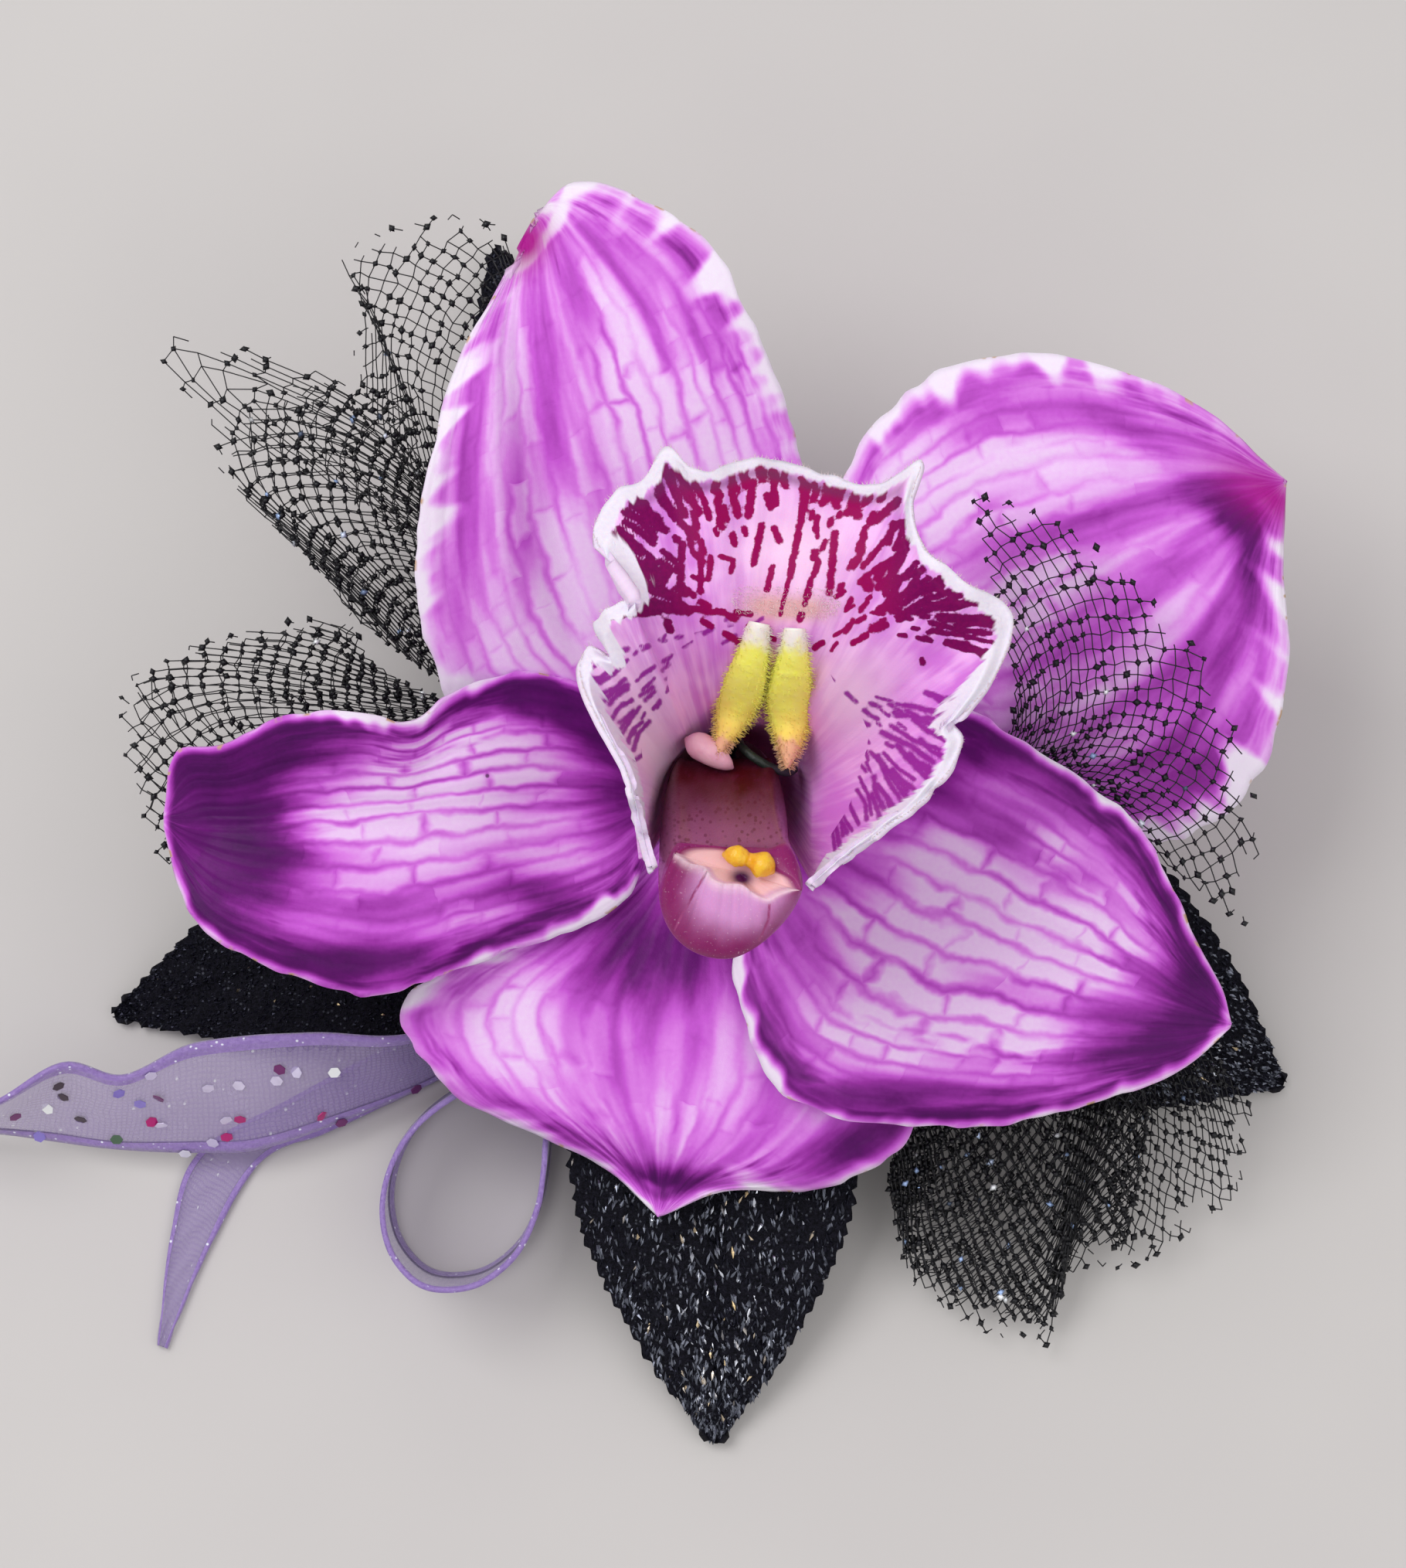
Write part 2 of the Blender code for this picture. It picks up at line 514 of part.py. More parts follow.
def make_knot(surface, parent):
    """The ribbon's knot, a rounded lump beside the stem."""
    rows, sides = 8, 12
    vertices = []
    for i in range(1, rows):
        polar = math.pi * i / rows
        for k in range(sides):
            angle = 2 * math.pi * k / sides
            ball = (math.sin(polar) * math.cos(angle), math.sin(polar) * math.sin(angle),
                    math.cos(polar))
            vertices.append(np.array(KNOT_CENTRE) + np.array(KNOT_SIZE) * ball)
    faces = [list(range(sides)), list(range(len(vertices) - sides, len(vertices)))[::-1]]
    for i in range(rows - 2):
        for k in range(sides):
            a, b = i * sides + k, i * sides + (k + 1) % sides
            faces.append([a, a + sides, b + sides, b])
    return make_object("ribbon_knot", np.array(vertices), faces, surface, parent)


def loop_grid(rows, columns):
    """Points of the ribbon's loop, which stands on its lower edge; top is the upper edge's."""
    grid = np.zeros((rows, columns, 3))
    for i, (x, y, top) in enumerate(smooth(LOOP, rows)):
        low = floor_depth(y * 1.05) + 2 * REST
        high = min(low + RIBBON_WIDTH, top)
        nearer = 1.0 - 0.5 * (low + high) / SIGHT
        for j in range(columns):
            grid[i, j] = (x * nearer, y * nearer, low + (high - low) * j / (columns - 1))
    return grid


def strip_grid(first, second, rows, columns):
    """Points of a strip between two edges."""
    first, second = smooth(first, rows), smooth(second, rows)
    return np.array([[placed(*(a + (b - a) * j / (columns - 1))) for j in range(columns)]
                     for a, b in zip(first, second)])


def on_floor(points):
    """Edge points laid just above the surface."""
    return [(x, y, floor_depth(y * 1.065) + RIBBON_THICKNESS + REST) for x, y in points]


def make_flower_wire(surface, parent):
    """The floral wire's hook, which comes out beside the lip's base and bends in the throat."""
    route = [(2.2, 1.9, -6.7), (2.2, 2.3, -1.0), (2.4, 2.4, 5.0), (3.0, 2.0, 6.6), (4.2, 1.5, 6.6),
             (5.2, 1.3, 4.6), (5.4, 1.0, 1.8)]
    path = [placed(*point) for point in smooth(route, 16)]
    return tube("flower_wire", path, [FLOWER_WIRE_RADIUS] * 16, 6, surface, parent)


# Tufts of net: each springs from a short gather beside the ovary and fans out to its rim.
# gather is where the sheet starts, rim its outer edge as seen, and the depths tell how far
# forward the sheet lies at the gather, half way out and at the rim; pleats fold it.
NET_TUFTS = dict(
    net_top=dict(gather=[(-0.3, 2.95), (-1.7, 2.4)], waist=[(-12, 24), (-21, 22)],
                 rim=[(-14.2, 39.5), (-16.3, 42.6), (-21.7, 42.3), (-27.1, 39.8), (-25.3, 36.6),
                      (-26.4, 31.7)],
                 depths=(-14.6, -12.0, -11.0)),
    net_spike=dict(gather=[(-2.0, 2.0), (-2.7, 1.2)], waist=[(-22, 24), (-24, 20)],
                   rim=[(-28.9, 31.5), (-40.7, 33.4), (-36.2, 26)],
                   depths=(-16.2, -15.0, -14.0)),
    net_left=dict(gather=[(-2.3, 1.8), (-2.9, 0.8)], waist=[(-19, 20), (-20, 8)],
                  rim=[(-22, 29.5), (-30.8, 30.1), (-36.6, 25), (-33.4, 20.6), (-25.6, 13.3)],
                  depths=(-14.6, -13.4, -12.6)),
    net_lower_left=dict(gather=[(-2.95, -0.6), (-2.5, -1.7)], waist=[(-23, 8), (-24, -4)],
                        rim=[(-26.4, 12.8), (-34, 11.5), (-42.7, 8.4), (-43.4, 2),
                             (-40.7, -6.2)],
                        depths=(-15.2, -14.8, -13.6)),
    net_right=dict(gather=[(9.0, -1.6), (9.0, 1.0)], waist=[(30, -6.0), (22.6, 3.0)],
                   rim=[(40.7, -10.6), (41.8, -3.6), (40.1, 3.2), (37.9, 9), (31.2, 16.2),
                        (25.9, 20), (20.2, 21.8)],
                   depths=(-9.1, -6.1, -2.2)),
    net_lower_right=dict(gather=[(1.0, -2.8), (2.1, -2.1)], waist=[(14, -22), (23, -21)],
                         rim=[(13.8, -31), (15.5, -37.8), (21.2, -41.3), (26, -42.1),
                              (27.7, -36.8), (31.7, -36.6)],
                         depths=(-14.6, -13.0, -15.0)),
    net_light=dict(gather=[(2.5, -1.7), (2.9, -0.6)], waist=[(26, -20), (34, -17)],
                   rim=[(31.7, -36.6), (37.9, -32.9), (40.4, -29.8), (41.4, -24.4)],
                   depths=(-14.6, -14.2, -15.6)))


def tuft_grid(tuft, rows, columns):
    """Points of a tuft: rows run from the gather to the rim, columns across it."""
    gather = smooth(tuft["gather"], columns)
    waist = smooth(tuft["waist"], columns)
    rim = smooth(tuft["rim"], columns)
    grid = np.zeros((rows, columns, 3))
    for j in range(columns):
        path = smooth([(*gather[j], tuft["depths"][0]), (*waist[j], tuft["depths"][1]),
                       (*rim[j], tuft["depths"][2])], rows)
        for i in range(rows):
            grid[i, j] = placed(*path[i])
    return grid


def build():
    """Make every piece."""
    clear_scene()
    face = bpy.data.objects.new("face_frame", None)
    bpy.context.scene.collection.objects.link(face)
    face.location = (SHIFT_X * MM, SHIFT_Y * MM, LIFT * MM)
    face.rotation_euler = (TILT, 0.0, 0.0)

    sepal = material("sepal", (0.62, 0.22, 0.70), 0.5)
    petal = material("petal", (0.45, 0.12, 0.50), 0.5)
    for name, shape, surface in (("dorsal_sepal", DORSAL_SEPAL, sepal),
                                 ("lateral_sepal_left", LATERAL_SEPAL_LEFT, sepal),
                                 ("lateral_sepal_right", LATERAL_SEPAL_RIGHT, sepal),
                                 ("petal_left", PETAL_LEFT, petal),
                                 ("petal_right", PETAL_RIGHT, petal)):
        slab(name, blade_grid(shape, 18, 9), PETAL_THICKNESS, surface, face)

    lip = material("lip", (0.70, 0.20, 0.48), 0.5)
    grid = lip_grid(44, 13)
    slab("lip", grid, LIP_THICKNESS, lip, face, relief=keel_relief(grid))
    make_column(material("column", (0.55, 0.20, 0.42), 0.35), face)
    make_pollinarium(material("pollinia", (0.85, 0.45, 0.02), 0.3), face)

    green = material("ovary", (0.25, 0.30, 0.12), 0.6)
    make_ovary(green, face)
    make_stem(material("stem_tape", (0.02, 0.03, 0.02), 0.7), face)
    wire = material("wire", (0.02, 0.03, 0.02), 0.5)
    make_flower_wire(wire, face)

    leaf = material("glitter_leaf", (0.012, 0.012, 0.016), 0.45)
    for name, spec in LEAVES.items():
        slab("leaf_" + name, leaf_grid(spec, 14, 7), LEAF_THICKNESS, leaf, face)
        tube("leaf_wire_" + name, leaf_wire_path(spec, 14), [WIRE_RADIUS] * 14, 6, wire, face)
    net = material("net", (0.02, 0.02, 0.025), 0.6)
    for name, spec in NET_TUFTS.items():
        slab(name, tuft_grid(spec, 10, 8), NET_THICKNESS, net, face)

    ribbon = material("ribbon", (0.35, 0.24, 0.50), 0.4)
    make_tie(ribbon, face)
    make_knot(ribbon, face)
    slab("ribbon_loop", loop_grid(30, 3), RIBBON_THICKNESS, ribbon, face)
    slab("ribbon_tail_long", strip_grid(LONG_TAIL_UPPER, LONG_TAIL_LOWER, 20, 4),
         RIBBON_THICKNESS, ribbon, face)
    slab("ribbon_tail_short", strip_grid(on_floor(SHORT_TAIL_LEFT), on_floor(SHORT_TAIL_RIGHT), 16, 3),
         RIBBON_THICKNESS, ribbon, face)


build()
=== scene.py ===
"""Orchid boutonniere: the visible pieces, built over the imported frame.

Every piece is drawn in the flower's face frame, in millimetres: x right, y toward the lip,
z forward. Outlines are drawn the way they look from a sight point SIGHT in front of the face,
and placed() slides each point along its line of sight to its own depth.
"""
import math

import bpy
import numpy as np
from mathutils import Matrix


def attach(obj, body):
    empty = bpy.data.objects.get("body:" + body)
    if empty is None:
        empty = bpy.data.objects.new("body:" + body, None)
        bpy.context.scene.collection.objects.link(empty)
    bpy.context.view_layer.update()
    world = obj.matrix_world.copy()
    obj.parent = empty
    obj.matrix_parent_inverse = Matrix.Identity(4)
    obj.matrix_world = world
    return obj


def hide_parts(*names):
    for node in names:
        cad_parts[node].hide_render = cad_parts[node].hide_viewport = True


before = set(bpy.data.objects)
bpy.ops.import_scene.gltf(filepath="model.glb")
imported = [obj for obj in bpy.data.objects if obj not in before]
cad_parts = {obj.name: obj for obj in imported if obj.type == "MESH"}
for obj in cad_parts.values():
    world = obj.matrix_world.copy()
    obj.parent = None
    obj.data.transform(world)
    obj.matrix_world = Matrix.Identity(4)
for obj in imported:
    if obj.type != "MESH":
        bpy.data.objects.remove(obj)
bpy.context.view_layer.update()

MM = 0.001
TILT = math.radians(15.0)
LIFT = 28.5
SHIFT_X = 7.9
SHIFT_Y = -4.1
SIGHT = 300.0
VIEW_WIDTH = 105.56


# ---------------------------------------------------------------- places and curves

def to_row(points):
    """Face-frame millimetres to row-frame metres."""
    x, y, z = np.moveaxis(np.asarray(points, dtype=float), -1, 0)
    return np.stack([x + SHIFT_X,
                     y * math.cos(TILT) - z * math.sin(TILT) + SHIFT_Y,
                     y * math.sin(TILT) + z * math.cos(TILT) + LIFT], -1) * MM


def floor_depth(y):
    """Face-frame depth of the surface that the object lies on."""
    return -(LIFT + y * math.sin(TILT)) / math.cos(TILT)


def placed(points):
    """Points that look to be at (x, y) on the face plane, moved to their depths z."""
    points = np.asarray(points, dtype=float)
    out = points * (1.0 - points[..., 2:] / SIGHT)
    out[..., 2] = points[..., 2]
    return out


def smooth(points, count):
    """Evenly spaced points on a smooth curve through the given ones."""
    points = np.array(points, dtype=float)
    ends = np.vstack([2 * points[0] - points[1], points, 2 * points[-1] - points[-2]])
    t = np.linspace(0.0, 1.0, 16, endpoint=False)[:, None]
    dense = []
    for a, b, c, d in zip(ends, ends[1:], ends[2:], ends[3:]):
        dense.append(0.5 * (2 * b + (c - a) * t + (2 * a - 5 * b + 4 * c - d) * t ** 2
                            + (3 * b - a - 3 * c + d) * t ** 3))
    dense = np.vstack(dense + [points[-1:]])
    steps = np.linalg.norm(np.diff(dense, axis=0), axis=1)
    walked = np.concatenate([[0.0], np.cumsum(steps)])
    wanted = np.linspace(0.0, walked[-1], count)
    return np.stack([np.interp(wanted, walked, dense[:, k]) for k in range(points.shape[1])], 1)


def profile(values, count):
    """A smooth run of single values, evenly spaced from first to last."""
    path = smooth(list(enumerate(values)), 200)
    return np.interp(np.linspace(0, len(values) - 1, count), path[:, 0], path[:, 1])


def step(values, low, high):
    """0 below low, 1 above high, smooth between."""
    t = np.clip((np.asarray(values, float) - low) / (high - low), 0.0, 1.0)
    return t * t * (3 - 2 * t)


def to_line(points, line, signed=False):
    """Distance of each 2-D point to a line of points; signed is positive on the line's left."""
    best = np.full(points.shape[:-1], 1e9)
    side = np.ones(points.shape[:-1])
    for a, b in zip(line, line[1:]):
        run = b - a
        t = np.clip(((points - a) @ run) / max(run @ run, 1e-9), 0.0, 1.0)
        away = points - (a + t[..., None] * run)
        far = np.hypot(away[..., 0], away[..., 1])
        turn = run[0] * away[..., 1] - run[1] * away[..., 0]
        side = np.where(far < best, np.sign(turn), side)
        best = np.minimum(best, far)
    return best * side if signed else best


def blobs(seen, spots):
    """Sum of soft spots (x, y, reach along, reach across, degrees, amount) at each point."""
    total = np.zeros(seen.shape[:-1])
    for x, y, long, wide, turn, amount in spots:
        c, s = math.cos(math.radians(turn)), math.sin(math.radians(turn))
        dx, dy = seen[..., 0] - x, seen[..., 1] - y
        total += amount * np.exp(-((dx * c + dy * s) / long) ** 2 - ((dy * c - dx * s) / wide) ** 2)
    return total


def unit(vectors):
    return vectors / np.maximum(np.linalg.norm(vectors, axis=-1, keepdims=True), 1e-9)


def waves(seed, count, places):
    """A smooth random wobble, from -1 to 1, at places from 0 to 1 along an edge."""
    rng = np.random.default_rng(seed)
    knots = rng.uniform(-1.0, 1.0, count + 3)
    return np.interp(np.asarray(places) * count, *smooth(list(enumerate(knots)), 40 * count).T)


# ---------------------------------------------------------------- meshes

def piece(name, solid, surfaces, node, uvs=None, fields=None, face_surface=None, flat=False):
    """One object that rides the root and stands for a CAD node.

    solid is its vertices, in face-frame millimetres, and its faces; uvs and fields hold a value
    for each vertex, and face_surface tells which of the surfaces each face has.
    """
    vertices, faces = solid
    mesh = bpy.data.meshes.new(name)
    loops = np.concatenate([np.asarray(part).ravel() for part in faces]).astype(np.int32)
    sizes = np.concatenate([np.full(len(part), np.asarray(part).shape[1]) for part in faces])
    starts = np.concatenate([[0], np.cumsum(sizes)[:-1]]).astype(np.int32)
    mesh.vertices.add(len(vertices))
    mesh.vertices.foreach_set("co", to_row(vertices).astype(np.float32).ravel())
    mesh.loops.add(len(loops))
    mesh.loops.foreach_set("vertex_index", loops)
    mesh.polygons.add(len(sizes))
    mesh.polygons.foreach_set("loop_start", starts)
    mesh.update(calc_edges=True)
    if flat:
        mesh.shade_flat()
    else:
        mesh.shade_smooth()
    for surface in surfaces:
        mesh.materials.append(surface)
    if face_surface is not None:
        mesh.polygons.foreach_set("material_index", np.asarray(face_surface, np.int32))
    for label, values in (uvs or {}).items():
        layer = mesh.uv_layers.new(name=label)
        layer.data.foreach_set("uv", np.asarray(values, np.float32)[loops].ravel())
    for label, values in (fields or {}).items():
        attribute = mesh.attributes.new(label, "FLOAT", "POINT")
        attribute.data.foreach_set("value", np.asarray(values, np.float32).ravel())
    made = bpy.data.objects.new(name + "_fine" if name == node else name, mesh)
    bpy.context.scene.collection.objects.link(made)
    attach(made, "root")
    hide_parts(node)
    return made


def sheet_piece(name, grid, thickness, surface, uvs, fields, relief=0.0):
    """A closed sheet that stands for the node of its name; uvs and fields are its front's."""
    solid = sheet_solid(grid, thickness, relief=relief)
    doubled = {label: both(values) for label, values in fields.items()}
    doubled["back"] = np.repeat([0.0, 1.0], len(solid[0]) // 2)
    return piece(name, solid, [surface], name,
                 {label: both(values) for label, values in uvs.items()}, doubled)


def grid_normals(grid, closed=False):
    """Unit normals of a grid of points; closed joins the last row to the first."""
    if closed:
        return grid_normals(np.concatenate([grid[-2:], grid, grid[:2]]))[2:-2]
    return unit(np.cross(np.gradient(grid, axis=0), np.gradient(grid, axis=1)))


def sheet_faces(rows, columns, closed=False):
    """Quads of a closed sheet: front grid first, back grid after it, and then the edges."""
    count = rows * columns
    low = np.arange(rows if closed else rows - 1) * columns
    high = (low + columns) % count
    first = (low[:, None] + np.arange(columns - 1)).ravel()
    second = (high[:, None] + np.arange(columns - 1)).ravel()
    front = np.stack([first, second, second + 1, first + 1], -1)
    last = columns - 1
    parts = [front, front[:, ::-1] + count,
             np.stack([low, low + count, high + count, high], -1),
             np.stack([low + last, high + last, high + last + count, low + last + count], -1)]
    if not closed:
        j = np.arange(columns - 1)
        parts.append(np.stack([j, j + 1, j + 1 + count, j + count], -1))
        j = j + (rows - 1) * columns
        parts.append(np.stack([j, j + count, j + 1 + count, j + 1], -1))
    return parts


def sheet_solid(grid, thickness, closed=False, relief=0.0):
    """Vertices and faces of a sheet whose front is the grid, lifted by its relief.

    thickness and relief are numbers or an array of the grid's shape.
    """
    normals = grid_normals(grid, closed)
    thickness = np.broadcast_to(thickness, grid.shape[:2])[..., None]
    relief = np.broadcast_to(relief, grid.shape[:2])[..., None]
    front, back = grid + normals * relief, grid - normals * thickness
    vertices = np.concatenate([front.reshape(-1, 3), back.reshape(-1, 3)])
    return vertices, sheet_faces(*grid.shape[:2], closed)


def both(values):
    """A front grid's values, repeated for its back."""
    values = np.asarray(values, float)
    flat = values.reshape(-1, values.shape[-1]) if values.ndim == 3 else values.ravel()
    return np.concatenate([flat, flat])


def circle(sides):
    """Angles of points round a circle."""
    return np.arange(sides) * 2 * math.pi / sides


def spokes(angles, side, other):
    """Directions at the angles, between one side and another that is square to it."""
    return np.cos(angles)[:, None] * side + np.sin(angles)[:, None] * other


def ring_faces(rings, sides):
    """Faces of a solid made of rings of points, closed at both ends."""
    i, k = np.meshgrid(np.arange(rings - 1), np.arange(sides), indexing="ij")
    a, b = i * sides + k, i * sides + (k + 1) % sides
    quads = np.stack([a, b, b + sides, a + sides], -1).reshape(-1, 4)
    first = np.arange(sides)[::-1][None]
    last = np.arange(sides)[None] + (rings - 1) * sides
    return [quads, first, last]


def ring_solid(rings):
    """Vertices and faces of a solid from its rings of points."""
    rings = np.asarray(rings)
    return rings.reshape(-1, 3), ring_faces(*rings.shape[:2])


def tube(path, radii, sides=12, shape=None, square=0):
    """A solid round a path; shape(i, angles) may scale each ring's radius.

    The first rings, as many as square tells, stand square to the path's first stretch.
    """
    tangents = np.gradient(path, axis=0)
    tangents[:square] = path[1] - path[0]
    tangents = unit(tangents)
    side = np.cross(tangents[0], [0.3, 0.1, 0.9])
    angles = circle(sides)
    rings = []
    for i, (point, tangent) in enumerate(zip(path, tangents)):
        side = unit(side - tangent * side.dot(tangent))
        radius = radii[i] * np.ones(sides) * (1.0 if shape is None else shape(i, angles))
        rings.append(point + radius[:, None] * spokes(angles, side, np.cross(tangent, side)))
    return ring_solid(rings)


def rods(starts, ends, radius, taper=1.0):
    """Straight three-sided rods between pairs of points."""
    sides = 3
    run = unit(ends - starts)
    other = unit(np.cross(run, [0.31, 0.22, 0.93]))
    third = np.cross(run, other)
    angles = circle(sides)
    ring = radius * (np.cos(angles)[None, :, None] * other[:, None]
                     + np.sin(angles)[None, :, None] * third[:, None])
    vertices = np.concatenate([starts[:, None] + ring, ends[:, None] + ring * taper], 1)
    base = (np.arange(len(starts)) * 2 * sides)[:, None]
    k = np.arange(sides)[None]
    after = (k + 1) % sides
    quads = np.stack([base + k, base + after, base + sides + after, base + sides + k], -1)
    caps = np.concatenate([(base + k)[:, ::-1], base + sides + k])
    return vertices.reshape(-1, 3), [quads.reshape(-1, 4), caps]


def crystals(centres, normals, sizes, rng, run=None, long=1.0):
    """Flat eight-sided crystals on a surface, each tilted at random, or long along a run."""
    tilt = unit(normals + rng.normal(0, 0.35, normals.shape))
    a = unit(np.cross(tilt, rng.normal(0, 1, tilt.shape)))
    if run is not None:
        a = unit(np.cross(np.cross(tilt, run + 0.35 * a), tilt)) * long
    b = np.cross(tilt, a) / long
    a, b, c = (axis * sizes[:, None] * share for axis, share in ((a, 1.0), (b, 0.75), (tilt, 0.5)))
    vertices = np.stack([a, b, -a, -b, c, -c], 1) + centres[:, None]
    base = (np.arange(len(centres)) * 6)[:, None]
    faces = [base + np.array([corners]) for k in range(4)
             for corners in ([k, (k + 1) % 4, 4], [(k + 1) % 4, k, 5])]
    return vertices.reshape(-1, 3), [np.concatenate(faces)]


def joined(*parts):
    """Several (vertices, faces) as one."""
    vertices, faces, offset = [], [], 0
    for points, groups in parts:
        vertices.append(points)
        faces += [group + offset for group in groups]
        offset += len(points)
    return np.concatenate(vertices), faces


def lookup(grid, t, s):
    """Bilinear value of a grid at rows t and columns s, both from 0 to 1."""
    rows, columns = grid.shape[:2]
    y, x = np.clip(t, 0, 1) * (rows - 1), np.clip(s, 0, 1) * (columns - 1)
    i, j = np.minimum(y.astype(int), rows - 2), np.minimum(x.astype(int), columns - 2)
    fy, fx = (y - i)[..., None], (x - j)[..., None]
    return ((1 - fy) * ((1 - fx) * grid[i, j] + fx * grid[i, j + 1])
            + fy * ((1 - fx) * grid[i + 1, j] + fx * grid[i + 1, j + 1]))


# ---------------------------------------------------------------- materials

class Surface:
    """A Principled material and short names for the nodes that feed it."""

    def __init__(self, name, **plain):
        self.material = bpy.data.materials.new(name)
        self.material.use_nodes = True
        self.tree = self.material.node_tree
        self.shader = self.tree.nodes["Principled BSDF"]
        for socket, value in plain.items():
            self.shader.inputs[socket.replace("_", " ")].default_value = value

    def feed(self, socket, value):
        if isinstance(value, bpy.types.NodeSocket):
            self.tree.links.new(value, socket)
        else:
            socket.default_value = value

    def node(self, kind, inputs, **settings):
        made = self.tree.nodes.new(kind)
        for key, value in settings.items():
            setattr(made, key, value)
        for key, value in inputs.items():
            self.feed(made.inputs[key], value)
        return made

    def coat(self, colour, normal=None, rough=None):
        """Feed the shader its colour, relief and roughness, and hand out the material."""
        for socket, value in (("Base Color", colour), ("Normal", normal), ("Roughness", rough)):
            if value is not None:
                self.feed(self.shader.inputs[socket], value)
        return self.material

    def field(self, name):
        return self.node("ShaderNodeAttribute", {}, attribute_name=name).outputs["Fac"]

    def uv(self, name, scale=(100.0, 100.0, 1.0)):
        place = self.node("ShaderNodeUVMap", {}, uv_map=name).outputs["UV"]
        return self.stretch(place, scale)

    def place(self):
        """Where a point of the object is, in millimetres."""
        coordinates = self.node("ShaderNodeTexCoord", {}).outputs["Object"]
        return self.stretch(coordinates, (1 / MM,) * 3)

    def stretch(self, vector, scale):
        return self.node("ShaderNodeVectorMath", {0: vector, 1: scale},
                         operation="MULTIPLY").outputs[0]

    def shift(self, vector, other):
        return self.node("ShaderNodeVectorMath", {0: vector, 1: other}, operation="ADD").outputs[0]

    def split(self, vector):
        return self.node("ShaderNodeSeparateXYZ", {0: vector}).outputs

    def calc(self, operation, *values):
        return self.node("ShaderNodeMath", dict(enumerate(values)), operation=operation).outputs[0]

    def plus(self, a, b):
        return self.calc("ADD", a, b)

    def minus(self, a, b):
        return self.calc("SUBTRACT", a, b)

    def times(self, a, b):
        return self.calc("MULTIPLY", a, b)

    def line(self, value, gain, offset):
        return self.calc("MULTIPLY_ADD", value, gain, offset)

    def swing(self, value, reach):
        """A value that runs from 0 to 1, as a swing of that reach round 0."""
        return self.line(value, reach, -reach / 2)

    def soft(self, value, low, high, start=0.0, end=1.0):
        return self.node("ShaderNodeMapRange", {0: value, 1: low, 2: high, 3: start, 4: end},
                         interpolation_type="SMOOTHSTEP").outputs[0]

    def blend(self, factor, a, b):
        return self.node("ShaderNodeMix", {0: factor, 2: a, 3: b}).outputs[0]

    def mix(self, factor, a, b):
        a, b = [(*c, 1.0) if isinstance(c, tuple) else c for c in (a, b)]
        return self.node("ShaderNodeMix", {0: factor, 6: a, 7: b}, data_type="RGBA").outputs[2]

    def wash(self, colour, field, tint, amount=1.0):
        """A colour, tinted where one of the mesh's fields tells."""
        return self.mix(self.times(self.field(field), amount), colour, tint)

    def ramp(self, value, stops):
        made = self.node("ShaderNodeValToRGB", {0: value})
        ends = made.color_ramp.elements
        ends[0].color, ends[1].color = (*stops[0][1], 1.0), (*stops[-1][1], 1.0)
        for place, colour in stops[1:-1]:
            ends.new(place).color = (*colour, 1.0)
        return made.outputs[0]

    def noise(self, vector, scale, detail=2.0, rough=0.5, colour=False):
        made = self.node("ShaderNodeTexNoise", {"Vector": vector, "Scale": scale, "Detail": detail,
                                                "Roughness": rough})
        return made.outputs["Color" if colour else "Fac"]

    def chance(self, value):
        """A random number, from 0 to 1, for each value."""
        return self.node("ShaderNodeTexWhiteNoise", {"W": value}, noise_dimensions="1D").outputs[0]

    def cells(self, vector, scale, randomness=1.0):
        return self.node("ShaderNodeTexVoronoi",
                         {"Vector": vector, "Scale": scale, "Randomness": randomness}).outputs

    def spots(self, vector, scale, reach, rare, channel=0, randomness=1.0):
        """Soft spots in the middle of some cells; rare tells which chances make one."""
        cell = self.cells(vector, scale, randomness)
        return self.times(self.soft(cell["Distance"], *reach),
                          self.soft(self.split(cell["Color"])[channel], *rare))

    def bump(self, height, strength, distance):
        return self.node("ShaderNodeBump", {"Height": height, "Strength": strength,
                                            "Distance": distance * MM}).outputs[0]


def mottled(name, grain, first, second, relief=None, **plain):
    """A material of two colours mixed by noise.

    grain and the first item of relief are noises, (scale, detail); relief goes on with the
    bump's strength and distance.
    """
    s = Surface(name, **plain)
    place = s.place()
    normal = s.bump(s.noise(place, *relief[0]), *relief[1:]) if relief else None
    return s.coat(s.mix(s.noise(place, *grain), first, second), normal)


# ---------------------------------------------------------------- skin of petals and sepals

TAN = (0.56, 0.36, 0.20)
BLUSH = (0.38, 0.004, 0.24)
SPECK = (0.03, 0.01, 0.03)
BACK_OF_BLOOM = (0.70, 0.36, 0.74)
BLOOM_TONES = [(0.0, (0.045, 0.001, 0.065)), (0.16, (0.125, 0.004, 0.15)),
               (0.36, (0.33, 0.030, 0.37)), (0.56, (0.57, 0.10, 0.64)), (0.72, (0.72, 0.23, 0.78)),
               (0.87, (0.82, 0.48, 0.88)), (1.0, (0.88, 0.78, 0.92))]
WHITE_TONE = 1.0
CELL_TONE = 0.92


